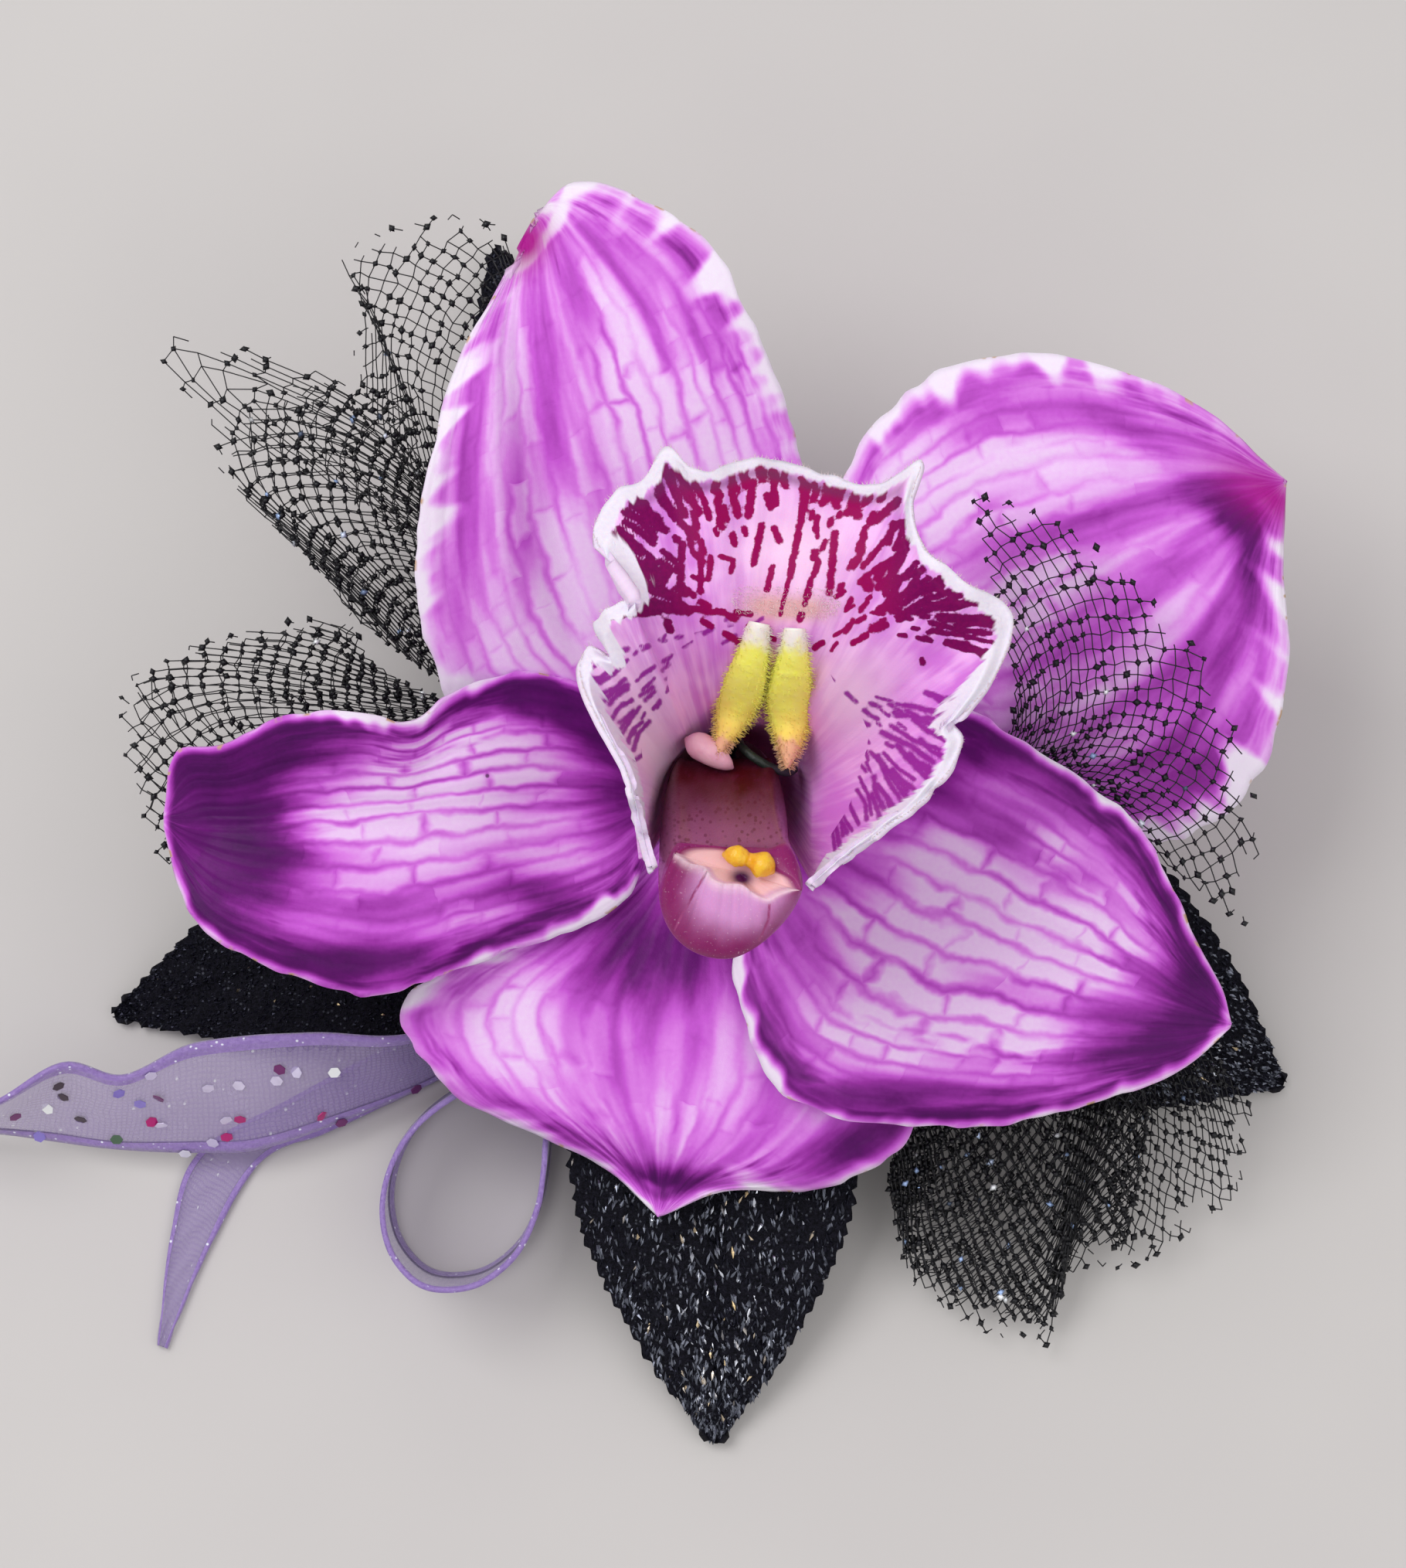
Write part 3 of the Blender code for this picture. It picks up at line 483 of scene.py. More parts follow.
def ladder(s, vein, warp, count, length, seed):
    """Cells in rows between the veins: how deep inside its cell a place is, and its chance."""
    bent = s.shift(s.stretch(vein, (count, 1.0 / length, 1.0)),
                   s.shift(s.stretch(warp, (1.1, 0.7, 0.0)), (seed, seed, 0.0)))
    across, along = s.split(bent)[:2]
    row = s.calc("FLOOR", across)
    along = s.line(s.chance(row), 9.0, along)
    nearest_bar = s.calc("FLOOR", s.plus(along, 0.5))
    gap = s.chance(s.plus(s.line(row, 17.3, 0.4), nearest_bar))
    bar = s.times(s.calc("PINGPONG", along, 0.5), 0.052 * length * count)
    wall = s.calc("MINIMUM", s.calc("PINGPONG", across, 0.5), s.line(gap, 0.24, bar))
    chance = s.chance(s.line(row, 17.3, s.calc("FLOOR", along)))
    return s.soft(wall, -0.03, 0.31), chance


def bloom(name, base, cells, fine, blur, lobe):
    """Skin of a petal or sepal, ruled by one tone that runs from dark purple to white.

    cells and fine are two nets of cells, (count to each side of the midrib, length in mm);
    base is the tone where neither cells nor dark places change it; blur is the softness in mm
    of the white rim and lobe is how far its lobes swell it.
    """
    s = Surface(name, Roughness=0.48, Specular_IOR_Level=0.14, Subsurface_Weight=0.08,
                Subsurface_Scale=0.001, Subsurface_Radius=(1.0, 0.4, 0.9))
    seen, vein = s.uv("seen"), s.uv("vein", (1.0, 100.0, 1.0))

    def streaks(across, along, detail=2.0, rough=0.5):
        return s.noise(s.stretch(vein, (across, along, 1.0)), 1.0, detail, rough)

    broad, tiny = s.noise(seen, 0.20, 3.0), s.noise(seen, 2.6, 3.0)
    flow = streaks(cells[0] * 1.1, 0.14, 3.0, 0.6)
    rays = streaks(cells[0] * 0.7, 0.05)
    fingers = streaks(cells[0] * 1.6, 0.18, 2.0, 0.6)
    pale, margin = s.field("pale"), s.field("margin")

    warp = s.shift(s.noise(seen, 0.26, 3.0, 0.5, colour=True), (-0.5, -0.5, -0.5))
    pick = s.soft(s.plus(s.field("fineness"), s.swing(broad, 0.6)), 0.4, 0.6)
    nets = [ladder(s, vein, warp, *cells, 0.0), ladder(s, vein, warp, *fine, 7.3)]
    inside, chance = (s.blend(pick, wide, close) for wide, close in zip(*nets))
    level = s.plus(s.times(pale, 1.30), s.plus(s.line(chance, 0.55, -0.35), s.swing(rays, 1.0)))
    lit = s.times(inside, s.soft(level, 0.0, 1.0))
    ground = s.plus(s.line(pale, 0.15, base - 0.35), s.plus(
        s.line(flow, 0.26, s.times(s.soft(rays, 0.3, 0.7), 0.34)), s.times(broad, 0.10)))
    ground = s.line(s.minus(inside, 1.0), 0.05, ground)
    tone = s.blend(s.times(lit, 1.06), ground, CELL_TONE)

    # The darker spots and the darker band along the margin make the shadow below: partly the flower's
    # own purple, partly painted shade beyond creases, under the column and on turned edges.
    near = s.minus(s.field("band"), s.plus(margin, s.swing(fingers, 6.0)))
    dark = s.soft(s.plus(s.field("dark"), s.swing(flow, 0.8)), 0.1, 1.05)
    shadow = s.times(s.calc("MAXIMUM", s.soft(near, -1.2, 2.2), dark), s.line(broad, 0.6, 0.52))
    tone = s.times(tone, s.minus(1.0, shadow))
    lobes = s.soft(streaks(1.2, 0.40, 1.0), 0.42, 0.72, 0.5, lobe)
    rim = s.minus(s.times(s.field("rim"), lobes), margin)
    tone = s.blend(s.soft(rim, -1.2 * blur, 0.9 * blur), tone, WHITE_TONE)

    colour = s.ramp(s.plus(tone, s.swing(tiny, 0.06)), BLOOM_TONES)
    colour = s.wash(colour, "blush", BLUSH)
    dry = s.times(s.soft(margin, 0.24, 0.04), s.soft(s.noise(seen, 0.7, 2.0), 0.58, 0.66))
    colour = s.mix(dry, colour, TAN)
    speck = s.soft(s.cells(seen, 0.11)["Distance"], 0.032, 0.024)
    colour = s.mix(s.times(speck, 0.8), colour, SPECK)
    colour = s.wash(colour, "back", BACK_OF_BLOOM, 0.4)
    grain = s.noise(seen, 9.0, 2.0, 0.6)
    relief = s.line(grain, 0.4, s.times(inside, 0.7))
    return s.coat(colour, s.bump(relief, 0.30, 0.12), s.line(grain, 0.18, 0.38))


# ---------------------------------------------------------------- petals and sepals
# Outlines are the ones the frame was made from. pale and blush are soft spots of the pattern; the
# darker spots are soft spots of the flower's own purple and of painted shade, beyond creases, under the
# column and where a blade turns away. bumps are soft spots of relief; band and rim are the widths of
# the darker band and of the white rim along each margin, from base to tip; that band is partly the
# margin's own purple and partly painted shade of its turned edge.

DORSAL_SEPAL = dict(
    left=[(2, -3.3), (6.4, -8.4), (11.6, -13.7), (15.1, -18.3), (16.5, -22.4), (16.2, -25.4),
          (13.9, -28.2), (8.7, -30.5), (1.7, -30.6), (-3.0, -32.4)],
    midrib=[(-0.1, -3.5), (-0.8, -12.5), (-1.7, -21.2), (-2.6, -27.6), (-3.4, -32.5)],
    right=[(-2.2, -3.2), (-7.5, -7.9), (-14.5, -11.6), (-20.3, -14.4), (-22.4, -16.6),
           (-21.8, -19.5), (-18, -23.8), (-12.2, -26.5), (-7.2, -29), (-3.6, -32.3)],
    depth=[-11.0, -10.0, -8.6, -8.0, -8.4, -10.4],
    rise=([0.0, 0.4, 0.6, 0.2, -1.2, -0.4], [0.0, 0.3, 0.9, 0.0, -1.4, -0.4]),
    crease=[(-21.9, -20.4), (-15.4, -22.6), (-11.8, -24.8), (-8.5, -25.6), (-3.8, -26.5),
            (0.1, -27.9), (4.0, -28.8), (8.2, -29.2), (10.9, -28.7), (15.5, -26.4)],
    crease_side=-1, drop=1.6,
    pale=[(-14, -18, 4.5, 5.5, 0, 0.65), (-2, -24.5, 7, 3.2, 0, 0.28), (-6, -18, 8, 5, 0, 0.08),
          (7, -24, 4, 3, 0, 0.2)],
    dark=[(-12, -26.4, 8, 1.7, -28, 0.9), (-1, -30.2, 7, 1.7, -8, 0.9), (12, -27.2, 7, 2.8, 22, 1.0),
          (-19, -17, 2.5, 3, 0, 0.3), (-3, -12, 9, 5.5, 0, 0.95), (-5, -20.5, 1.6, 5, -12, 0.3)],
    blush=[], bumps=[(-6, -17, 4, 9, 20, -0.5), (5, -22, 4, 8, -15, 0.5)],
    band=([0, 0, 0.4, 1.6, 1.6, 1.4], [0, 0.3, 1.0, 1.6, 1.8, 1.4]),
    rim=([0.5, 0.5, 0.5, 0.5, 0.5, 0.5], [0.5, 0.6, 0.6, 0.45, 0.45, 0.5]))

LATERAL_SEPAL_LEFT = dict(
    left=[(-3.2, 2.6), (-12.2, 3.5), (-18.6, 5.8), (-21.3, 12.4), (-21.4, 18.8), (-20.2, 25.8),
          (-18.3, 32.2), (-15.1, 37.5), (-13.8, 39.4), (-14, 40.2)],
    midrib=[(-1.1, 3.3), (-4.1, 12.4), (-7.7, 24), (-10.9, 35.1), (-12.3, 42), (-13.8, 40.6)],
    right=[(1, 4), (4.4, 9.5), (7.4, 15.9), (7.7, 21.7), (6.5, 27.5), (4.4, 33.3), (0.9, 40),
           (-4.4, 43.9), (-9.6, 45.2), (-12.8, 42.4)],
    depth=[-11.0, -7.6, -5.2, -3.6, -3.0, -4.0],
    rise=([0.0, -1.0, 0.4, 1.2, 0.8, 0.0], [0.0, -1.0, -0.4, 0.6, 0.4, 0.0]),
    pale=[(-4, 26, 4, 8, 14, 0.65), (-9.5, 14, 3.4, 8, 12, 0.9), (-6.5, 32, 2.2, 6, 15, 0.5),
          (-13, 10.5, 4.5, 4.5, 0, 0.65),
          (1.5, 24, 3.5, 6, 10, 0.6), (-14.5, 27, 1.6, 9, 0, 0.45), (3.5, 31, 2.4, 6, 22, 0.4)],
    dark=[(1.5, 36, 2.0, 4, 25, 0.35), (5.0, 28.5, 1.6, 4, 10, 0.3), (-7, 41, 4, 3, 0, 0.35),
          (-18.2, 18, 1.2, 10, 0, 0.45), (-11.0, 25, 1.0, 7, 12, 0.3), (-3, 9, 5, 4, 0, 0.4),
          (-5, 12, 2.2, 3, 0, 0.5)],
    blush=[(-13.2, 40.6, 1.5, 2.2, -20, 1.1)],
    bumps=[(-12, 24, 1.8, 14, 10, -0.9), (-15.4, 24, 1.6, 14, 4, 0.9), (-11.6, 11, 1.4, 6, 28, 0.5),
           (-1, 30, 3, 9, 20, 0.4)],
    band=([0.0, 0.0, 0.3, 0.3, 0.3, 0.5], [0.0, 0.5, 1.0, 1.5, 1.5, 1.0]),
    rim=([0.8, 1.1, 1.3, 1.3, 0.7, 0.4], [0.4, 0.4, 0.5, 1.1, 1.1, 0.5]))

LATERAL_SEPAL_RIGHT = dict(
    left=[(1.9, 3.7), (5.8, 10.1), (9, 18.2), (12.5, 26.5), (18.9, 31.3), (26.4, 32.1),
          (33.1, 30.4), (38.6, 27.4), (41.6, 24.7), (43.7, 22.9)],
    midrib=[(3.1, 1.9), (15.1, 9.5), (26.7, 15.3), (36, 19.4), (43.9, 22.7)],
    right=[(4.3, 0), (10.4, 0.3), (18.6, -1.5), (26.7, -3.5), (33.1, -4.4), (38.3, -2.9),
           (42.1, 1.7), (44, 8.4), (43.6, 16.2), (43.8, 22.6)],
    depth=[-11.0, -8.6, -6.6, -5.4, -5.2, -7.0],
    rise=([0.0, 0.0, 0.6, 0.8, 0.4, 0.0], [0.0, -1.2, -2.0, -1.6, -0.8, 0.0]),
    pale=[(21, 23.2, 9, 3.6, 14, 0.85), (15, 20, 4, 5, 0, 0.5), (26, 15, 8, 3.4, 20, 0.6),
          (24, 7, 7, 4, 10, 0.45)],
    dark=[(37, 1, 6, 3.5, 0, 0.55), (20, 28.6, 7, 1.8, 20, 0.55), (41, 17, 2.0, 6, 10, 0.6),
          (33, 26, 7, 1.6, -30, 0.45), (14, 12, 4, 6, 0, 0.5), (38, 9, 3, 6, -35, 0.6),
          (39.5, 20.5, 4, 1.6, -20, 0.7),
          (31, 20.4, 8, 0.9, 16, 0.5)],
    blush=[(42.6, 21.6, 4.6, 2.0, -30, 0.95)],
    bumps=[(22, 18, 12, 2.4, 30, 0.5), (30, 9, 12, 2.6, 5, -0.5)],
    band=([0.5, 1, 1.6, 1.4, 1.0, 1.0], [0.5, 1, 1.0, 1.0, 1.0, 1, 1.0]),
    rim=([0.9, 1.1, 1.3, 0.9, 0.35, 0.2], [0.4, 0.5, 0.6, 0.9, 1.2, 1.1, 0.7, 0.2]))

PETAL_LEFT = dict(
    left=[(-3.5, -3.1), (-5.6, -8.4), (-9.9, -11), (-14.5, -12.4), (-19.7, -14.4),
          (-24.5, -15.9), (-29.3, -14.8), (-33.6, -13.3), (-37.6, -10.8), (-39.3, -7.9),
          (-40.5, -3.3)],
    midrib=[(-3.3, -0.9), (-11.6, -1.5), (-22, -2.3), (-31.3, -3.2), (-37.6, -3.3),
            (-40.5, -2.6)],
    right=[(-2.9, 1.3), (-6.4, 5.8), (-9.9, 7.7), (-13.6, 8.4), (-18.4, 7), (-21.8, 4.6),
           (-25.8, 5.4), (-31.3, 5), (-36, 2.8), (-39.6, 2.3), (-40.5, -2.1)],
    depth=[-9.6, -6.8, -3.2, -1.2, -0.6, -2.4],
    rise=([0.0, -0.4, -0.6, -1.0, -1.0, 0.0], [0.0, 0.6, 0.8, 3.4, 2.6, 0.0]),
    crease=[(-39.4, -8.6), (-34.6, -10.9), (-30, -12.0), (-25, -13.4), (-20.5, -13.9)],
    crease_side=1, drop=1.2,
    pale=[(-22.5, -2.2, 8.5, 2.8, 2, 1.1), (-18.5, 2.2, 6, 2.2, 5, 0.8), (-26, -7.6, 7, 2.4, -8, 0.25),
          (-12.5, 2.6, 4, 2.6, 0, 0.5), (-18, -7.4, 7, 2.6, 0, 0.3), (-12, -4, 4, 3, 0, 0.2)],
    dark=[(-36.5, -3, 5.5, 8.5, 0, 1.0), (-32.5, -6, 5, 6, 0, 0.4), (-29, 3.0, 7, 2.2, 8, 0.75),
          (-12, 6.2, 7, 2.2, -22, 1.2),
          (-6, -1, 3.5, 6, 0, 0.75), (-27, -13.6, 10, 1.9, 6, 1.1), (-11, -9, 7, 2, -25, 0.7)],
    blush=[], bumps=[(-13, 3, 6, 3.5, -25, 1.3), (-21, 2.6, 2.2, 3, 20, -0.8),
                     (-24, -3, 12, 3, 0, -0.8), (-28, 3, 5, 2, 8, 0.7)],
    band=([1, 2, 2.4, 2.0, 2.4, 2.6, 3, 3], [1, 2, 3.0, 1.6, 2.4, 3, 4, 4]),
    rim=([0.5, 0.8, 0.6, 0.25, 0.15, 0.2, 0.2, 0.2], [0.2, 0.1, 0.2, 0.5, 0.8, 0.15, 0.1, 0.2]))

PETAL_RIGHT = dict(
    left=[(4, 0), (9.9, 3.7), (15.7, 5.8), (19.6, 5.7), (23.2, 3.7), (27.8, 1), (32.2, -2.6),
          (35.1, -7.3), (37.1, -12), (38.9, -15.1), (39.6, -17.6)],
    midrib=[(3, -1.8), (13.3, -7.6), (22, -11.6), (29.3, -14.5), (35.7, -16.7), (39.7, -18)],
    right=[(1.9, -3.5), (2.6, -9.6), (2.3, -14.8), (3.8, -19.5), (5.8, -23.1), (10.4, -25.3),
           (16.8, -25.7), (23.8, -25.4), (30.7, -23.5), (36.2, -21.3), (39.6, -18.3)],
    depth=[-9.6, -7.0, -3.8, -2.0, -2.4, -5.6],
    rise=([0.0, 0.6, 0.8, 0.6, 0.4, 0.0], [0.0, 0.4, -0.4, -0.6, -0.4, 0.0]),
    pale=[(22.5, -10.6, 6, 3, -22, 1.3), (14, -13.0, 6.5, 4, -25, 1.0), (14, -18.5, 6, 3, -5, 0.75),
          (23.5, -18.4, 4.5, 2.6, -5, 0.8), (18, -5.5, 4, 2.6, -20, 0.75), (26.0, -4.6, 3, 1.8, 0, 0.6),
          (29, -12, 4, 4, 0, 0.8)],
    dark=[(37.5, -15, 4.0, 7, 0, 1.0), (30, -18.5, 4, 2.6, 0, 0.4), (15, -2.5, 4, 3, 0, 0.3),
          (28.6, -0.2, 6, 2.2, -35, 0.9), (21, 3.0, 4, 2.6, 0, 0.8),
          (15, 1, 5, 3.0, 0, 0.5), (5, -19, 1.8, 6, 0, 0.6), (7, -3, 5, 4, 0, 0.4),
          (13, -23.4, 10, 1.8, 0, 0.8), (32, -20.5, 6, 1.8, 15, 0.6)],
    blush=[], bumps=[(20, -12, 13, 3, -22, -0.8), (25, -4, 9, 3, -30, 0.6), (12, -20, 5, 4, 0, 0.6)],
    band=([1, 1.6, 2.4, 2.6, 2.0, 2.0, 2.6, 2.6], [0.6, 1.6, 2.4, 2.2, 1.8, 2.0, 2.4, 2.6]),
    rim=([0.1, 0.1, 0.2, 0.4, 0.7, 0.25, 0.2, 0.2], [0.6, 0.9, 0.7, 0.6, 0.25, 0.35, 0.6, 0.25]))
BLADE_ROWS, BLADE_COLUMNS = 118, 69
PETAL_THICKNESS, MARGIN_THICKNESS, THINNING = 0.9, 0.35, 2.5
RIBS, RIB_HEIGHT = 9, 0.05
FRILL = 0.012
WAVE_HEIGHT = 0.55
ROLLED_EDGE = 0.35


def blade(name, shape, surface, seed):
    """A petal or sepal: the frame's outline and depth, with folds, ribs and a wavy margin."""
    rows = BLADE_ROWS
    across = np.linspace(1.0, -1.0, BLADE_COLUMNS)[None, :]
    along = np.linspace(0.0, 1.0, rows)[:, None]
    beside = np.abs(across)

    def by_side(left, right):
        return np.where(across < 0, left, right)

    def profiles(key):
        return by_side(*(profile(values, rows)[:, None] for values in shape[key]))

    left, middle, right = (smooth(shape[key], rows) for key in ("left", "midrib", "right"))
    edge = np.where(across[..., None] < 0, left[:, None], right[:, None])
    frill = FRILL * (waves(seed, 46, along) + waves(seed + 1, 17, along))
    out = beside + by_side(frill, frill[::-1]) * beside ** 6
    seen = middle[:, None] + out[..., None] * (edge - middle[:, None])

    calm_ends = step(along, 0.03, 0.3) * step(1 - along, 0.0, 0.12)
    depth = profile(shape["depth"], rows)[:, None] + profiles("rise") * across ** 2
    depth += blobs(seen, shape["bumps"]) * calm_ends
    wave = by_side(waves(seed + 2, 9, along), waves(seed + 3, 9, along))
    depth += WAVE_HEIGHT * wave * beside ** 5 * calm_ends
    depth -= ROLLED_EDGE * step(beside, 0.93, 1.0)
    depth += RIB_HEIGHT * np.cos(across * RIBS * 2 * math.pi) * calm_ends
    if "crease" in shape:
        beyond = shape["crease_side"] * to_line(seen, smooth(shape["crease"], 40), signed=True)
        depth -= shape["drop"] * step(beyond, -0.2, 4.0) * calm_ends
    grid = placed(np.concatenate([seen, depth[..., None]], -1))

    outline = np.vstack([smooth(shape["left"], 160)[14:], smooth(shape["right"], 160)[14:][::-1]])
    margin = to_line(seen, outline)
    length = np.linalg.norm(np.diff(middle, axis=0), axis=1).sum()
    vein = np.stack(np.broadcast_arrays(across, along * length / 100), -1)
    fields = dict(margin=margin, band=profiles("band"), rim=profiles("rim"),
                  pale=blobs(seen, shape["pale"]), dark=blobs(seen, shape["dark"]),
                  blush=np.clip(blobs(seen, shape["blush"]), 0, 1),
                  fineness=beside * 1.15 - 0.15 + 0 * along)
    thickness = MARGIN_THICKNESS + (PETAL_THICKNESS - MARGIN_THICKNESS) * step(margin, 0.0, THINNING)
    sheet_piece(name, grid, thickness, surface, dict(seen=seen / 100, vein=vein), fields)


PETAL_SKIN = bloom("petal_skin", base=0.53, cells=(7, 5.0), fine=(11, 2.2), blur=0.5, lobe=1.7)
SEPAL_SKIN = bloom("sepal_skin", base=0.65, cells=(8, 4.4), fine=(11, 2.0), blur=1.0, lobe=2.8)

blade("dorsal_sepal", DORSAL_SEPAL, SEPAL_SKIN, 11)
blade("lateral_sepal_left", LATERAL_SEPAL_LEFT, SEPAL_SKIN, 22)
blade("lateral_sepal_right", LATERAL_SEPAL_RIGHT, SEPAL_SKIN, 33)
blade("petal_left", PETAL_LEFT, PETAL_SKIN, 44)
blade("petal_right", PETAL_RIGHT, PETAL_SKIN, 55)


# ---------------------------------------------------------------- lip
# The collar opens toward the column: base, throat and margin run from the tip of its left side
# lobe, over the mid lobe, to the tip of its right side lobe.

LIP_MARGIN = [(-3.7, -6.6, 21), (-4.7, -3.6, 22), (-5.7, 0.7, 22), (-8.1, 5.3, 20), (-9.3, 8.4, 18),
              (-8.6, 10.4, 16), (-7.0, 9.5, 18), (-8.2, 12.2, 19), (-5.2, 14.2, 21),
              (-6.0, 15.9, 20), (-8.1, 18.4, 19), (-7.7, 20.3, 18), (-6.4, 22.2, 17),
              (-4.5, 22.9, 16), (-2.8, 25.3, 14), (-0.9, 23.8, 15), (0.7, 23.6, 14),
              (4.4, 24.6, 11), (9.9, 23.1, 13), (12.8, 22.4, 14), (14.7, 23.3, 15),
              (16.4, 24.3, 15), (15.7, 21.4, 17), (16.5, 18.0, 19), (19.1, 15.6, 20),
              (23.0, 13.1, 19), (23.1, 11.0, 19), (22.0, 8.3, 19), (19.8, 5.5, 18.6),
              (18.6, 4.6, 18.2), (19.3, 2.9, 18.4), (17.2, -0.5, 20), (11.9, -4.6, 22),
              (9.3, -6.6, 22), (7.9, -7.8, 21)]
LIP_THROAT = [(-4.0, -5.4, 14), (-3.8, -2.9, 9), (-3.0, 0.3, 6), (-1.5, 2.6, 5), (0.6, 4.0, 5),
              (3.2, 4.6, 5), (5.8, 4.0, 5), (7.4, 2.3, 5), (8.1, -0.3, 6), (8.1, -3.6, 9),
              (7.9, -7.0, 14)]
LIP_CENTRE = (2.0, -3.0)
LIP_THROAT_SHARE = 0.34
LIP_BASE = (1.5, -0.6, -7.05)
LIP_BASE_START, LIP_BASE_SWEEP, LIP_BASE_RADIUS = 205.0, 230.0, 4.2
LIP_BULGE = 6.5
LIP_ROWS, LIP_TUBE, LIP_FLARE = 440, 12, 84
LIP_THICKNESS, LIP_EDGE_THICKNESS = 0.8, 0.4
LIP_CALM_REACH = 26
LIP_ROLLED_EDGE = 1.3
LIP_WRINKLE, LIP_FRILL = 0.10, 0.16
UNMARKED = -3.0
FAR_FROM_EDGE = 9.0

# Red marks along the middle of the lip: points of each mark and its half width.
MARKS = [([(7.75, 22.4), (7.55, 20.6)], 0.46), ([(7.5, 20.6), (6.5, 15.6)], 0.34),
         ([(6.5, 15.6), (5.8, 12.7)], 0.22), ([(5.4, 19.2), (5.7, 18.2)], 0.36),
         ([(4.4, 19.4), (3.8, 16.6)], 0.36), ([(5.2, 16.3), (4.8, 14.6)], 0.30),
         ([(3.1, 19.2), (3.2, 18.8)], 0.32), ([(1.3, 17.1), (2.3, 16.8), (2.1, 15.9)], 0.26),
         ([(3.7, 22.6), (3.4, 20.2)], 0.45), ([(2.1, 22.3), (2.6, 20.2)], 0.38),
         ([(5.4, 22.8), (5.2, 21.1)], 0.36), ([(8.5, 19.7), (8.6, 18.5)], 0.22),
         ([(8.4, 17.4), (8.3, 17.0)], 0.40), ([(9.9, 18.8), (9.5, 14.4)], 0.38),
         ([(8.1, 15.3), (7.6, 13.5)], 0.30), ([(10.3, 20.3), (10.2, 20.1)], 0.26),
         ([(10.6, 22.4), (9.4, 21.4)], 0.42), ([(12.1, 19.1), (11.9, 17.4), (11.3, 16.3)], 0.36),
         ([(11.3, 21.3), (11.6, 20.2)], 0.48), ([(12.3, 15.3), (12.4, 14.8)], 0.55),
         ([(13.6, 16.4), (13.1, 15.5)], 0.50), ([(14.3, 19.5), (13.9, 18.2)], 0.40),
         ([(14.5, 15.4), (14.1, 13.1)], 0.48), ([(14.6, 21.2), (13.0, 19.8)], 0.44),
         ([(13.4, 12.0), (12.7, 11.6)], 0.45), ([(16.4, 9.3), (16.5, 9.1)], 0.30),
         ([(1.1, 21.3), (1.4, 19.3)], 0.42), ([(-0.1, 18.2), (-0.2, 14.4)], 0.30),
         ([(-2.0, 23.8), (-0.4, 20.4)], 0.48), ([(0.6, 17.0), (0.4, 15.4)], 0.30),
         ([(-1.6, 18.0), (-1.7, 14.6)], 0.36), ([(-2.7, 12.2), (-2.5, 11.6)], 0.40),
         ([(-2.3, 13.4), (-2.3, 13.2)], 0.30), ([(11.1, 13.9), (10.9, 13.3)], 0.28)]
# Stretches of the margin that carry marks: its first and last point, the marks' pitch, how far
# in they start, how long and how wide they are, and the point that they aim at.
RED_STRETCHES = [
    ((-8.2, 12.2), (-7.7, 20.3), 0.70, (1.1, 1.9), (2.0, 3.8), (0.29, 0.46), (1.5, 13.0)),
    ((-7.7, 20.3), (-0.9, 23.8), 0.74, (1.1, 2.0), (1.8, 3.8), (0.31, 0.48), (2.5, 13.0)),
    ((0.7, 23.6), (14.7, 23.3), 1.15, (0.7, 1.1), (0.5, 1.4), (0.32, 0.52), (7.0, 9.5)),
    ((15.7, 21.4), (22.0, 8.3), 0.66, (1.0, 1.8), (2.0, 4.6), (0.22, 0.40), (10.5, 11.5))]
PURPLE_STRETCHES = [
    ((-5.7, 0.7), (-8.6, 10.4), 0.55, (0.8, 1.5), (1.0, 2.6), (0.18, 0.30), (1.0, 12.0)),
    ((20.5, 6.6), (9.3, -6.6), 0.55, (0.8, 1.6), (1.8, 4.6), (0.17, 0.32), (8.0, 8.5))]
# Soft spots of colour, and the width of the white rim by its turn round the throat. The pale spot at
# (-4.2, 3.5) is painted light on the lip's shaded side beside the throat.
LIP_TINTS = dict(
    pale=[(11.3, 6.4, 3.2, 4.0, 0, 0.9), (-4.2, 3.5, 2.6, 7, 20, 1.0), (7, 17.5, 5, 4.5, 0, 0.85)],
    violet=[(9.4, -1.5, 2.0, 5, 0, 0.7), (15, 8, 3, 5, -30, 0.35), (16, 2, 3, 4.5, -35, 0.45),
            (0, 12, 3, 3, 0, 0.3)],
    rose=[(-0.5, 8.5, 1.6, 3.5, -10, 0.2), (4.8, 8.5, 1.0, 5, 0, 0.7), (4.8, 3.5, 4.5, 2.2, 0, 0.5)],
    peach=[(4.6, 13.4, 1.9, 1.0, 0, 0.9), (7.9, 13.2, 1.9, 1.0, 0, 0.9), (6.2, 13.0, 2.0, 0.8, 0, 0.5)])
LIP_RIM = ([0, 0.18, 0.25, 0.32, 0.40, 0.45, 0.6, 0.68, 0.74, 0.8, 1],
           [0.8, 0.7, 0.9, 1.1, 1.2, 0.8, 0.6, 0.9, 1.4, 0.8, 0.9])


def turn_shares(path):
    """How far round the throat's centre each point of a path lies, from 0 to 1."""
    angles = np.unwrap(np.arctan2(path[:, 1] - LIP_CENTRE[1], path[:, 0] - LIP_CENTRE[0]))
    shares = (angles - angles[0]) / (angles[-1] - angles[0])
    return 0.75 * np.maximum.accumulate(shares) + 0.25 * np.linspace(0.0, 1.0, len(path))


def softened(path, reach):
    """A path with its small turns averaged away."""
    kernel = np.exp(-np.linspace(-2, 2, 2 * reach + 1) ** 2)
    padded = np.pad(path, ((reach, reach), (0, 0)), mode="edge")
    return np.stack([np.convolve(padded[:, k], kernel / kernel.sum(), "valid")
                     for k in range(path.shape[1])], 1)


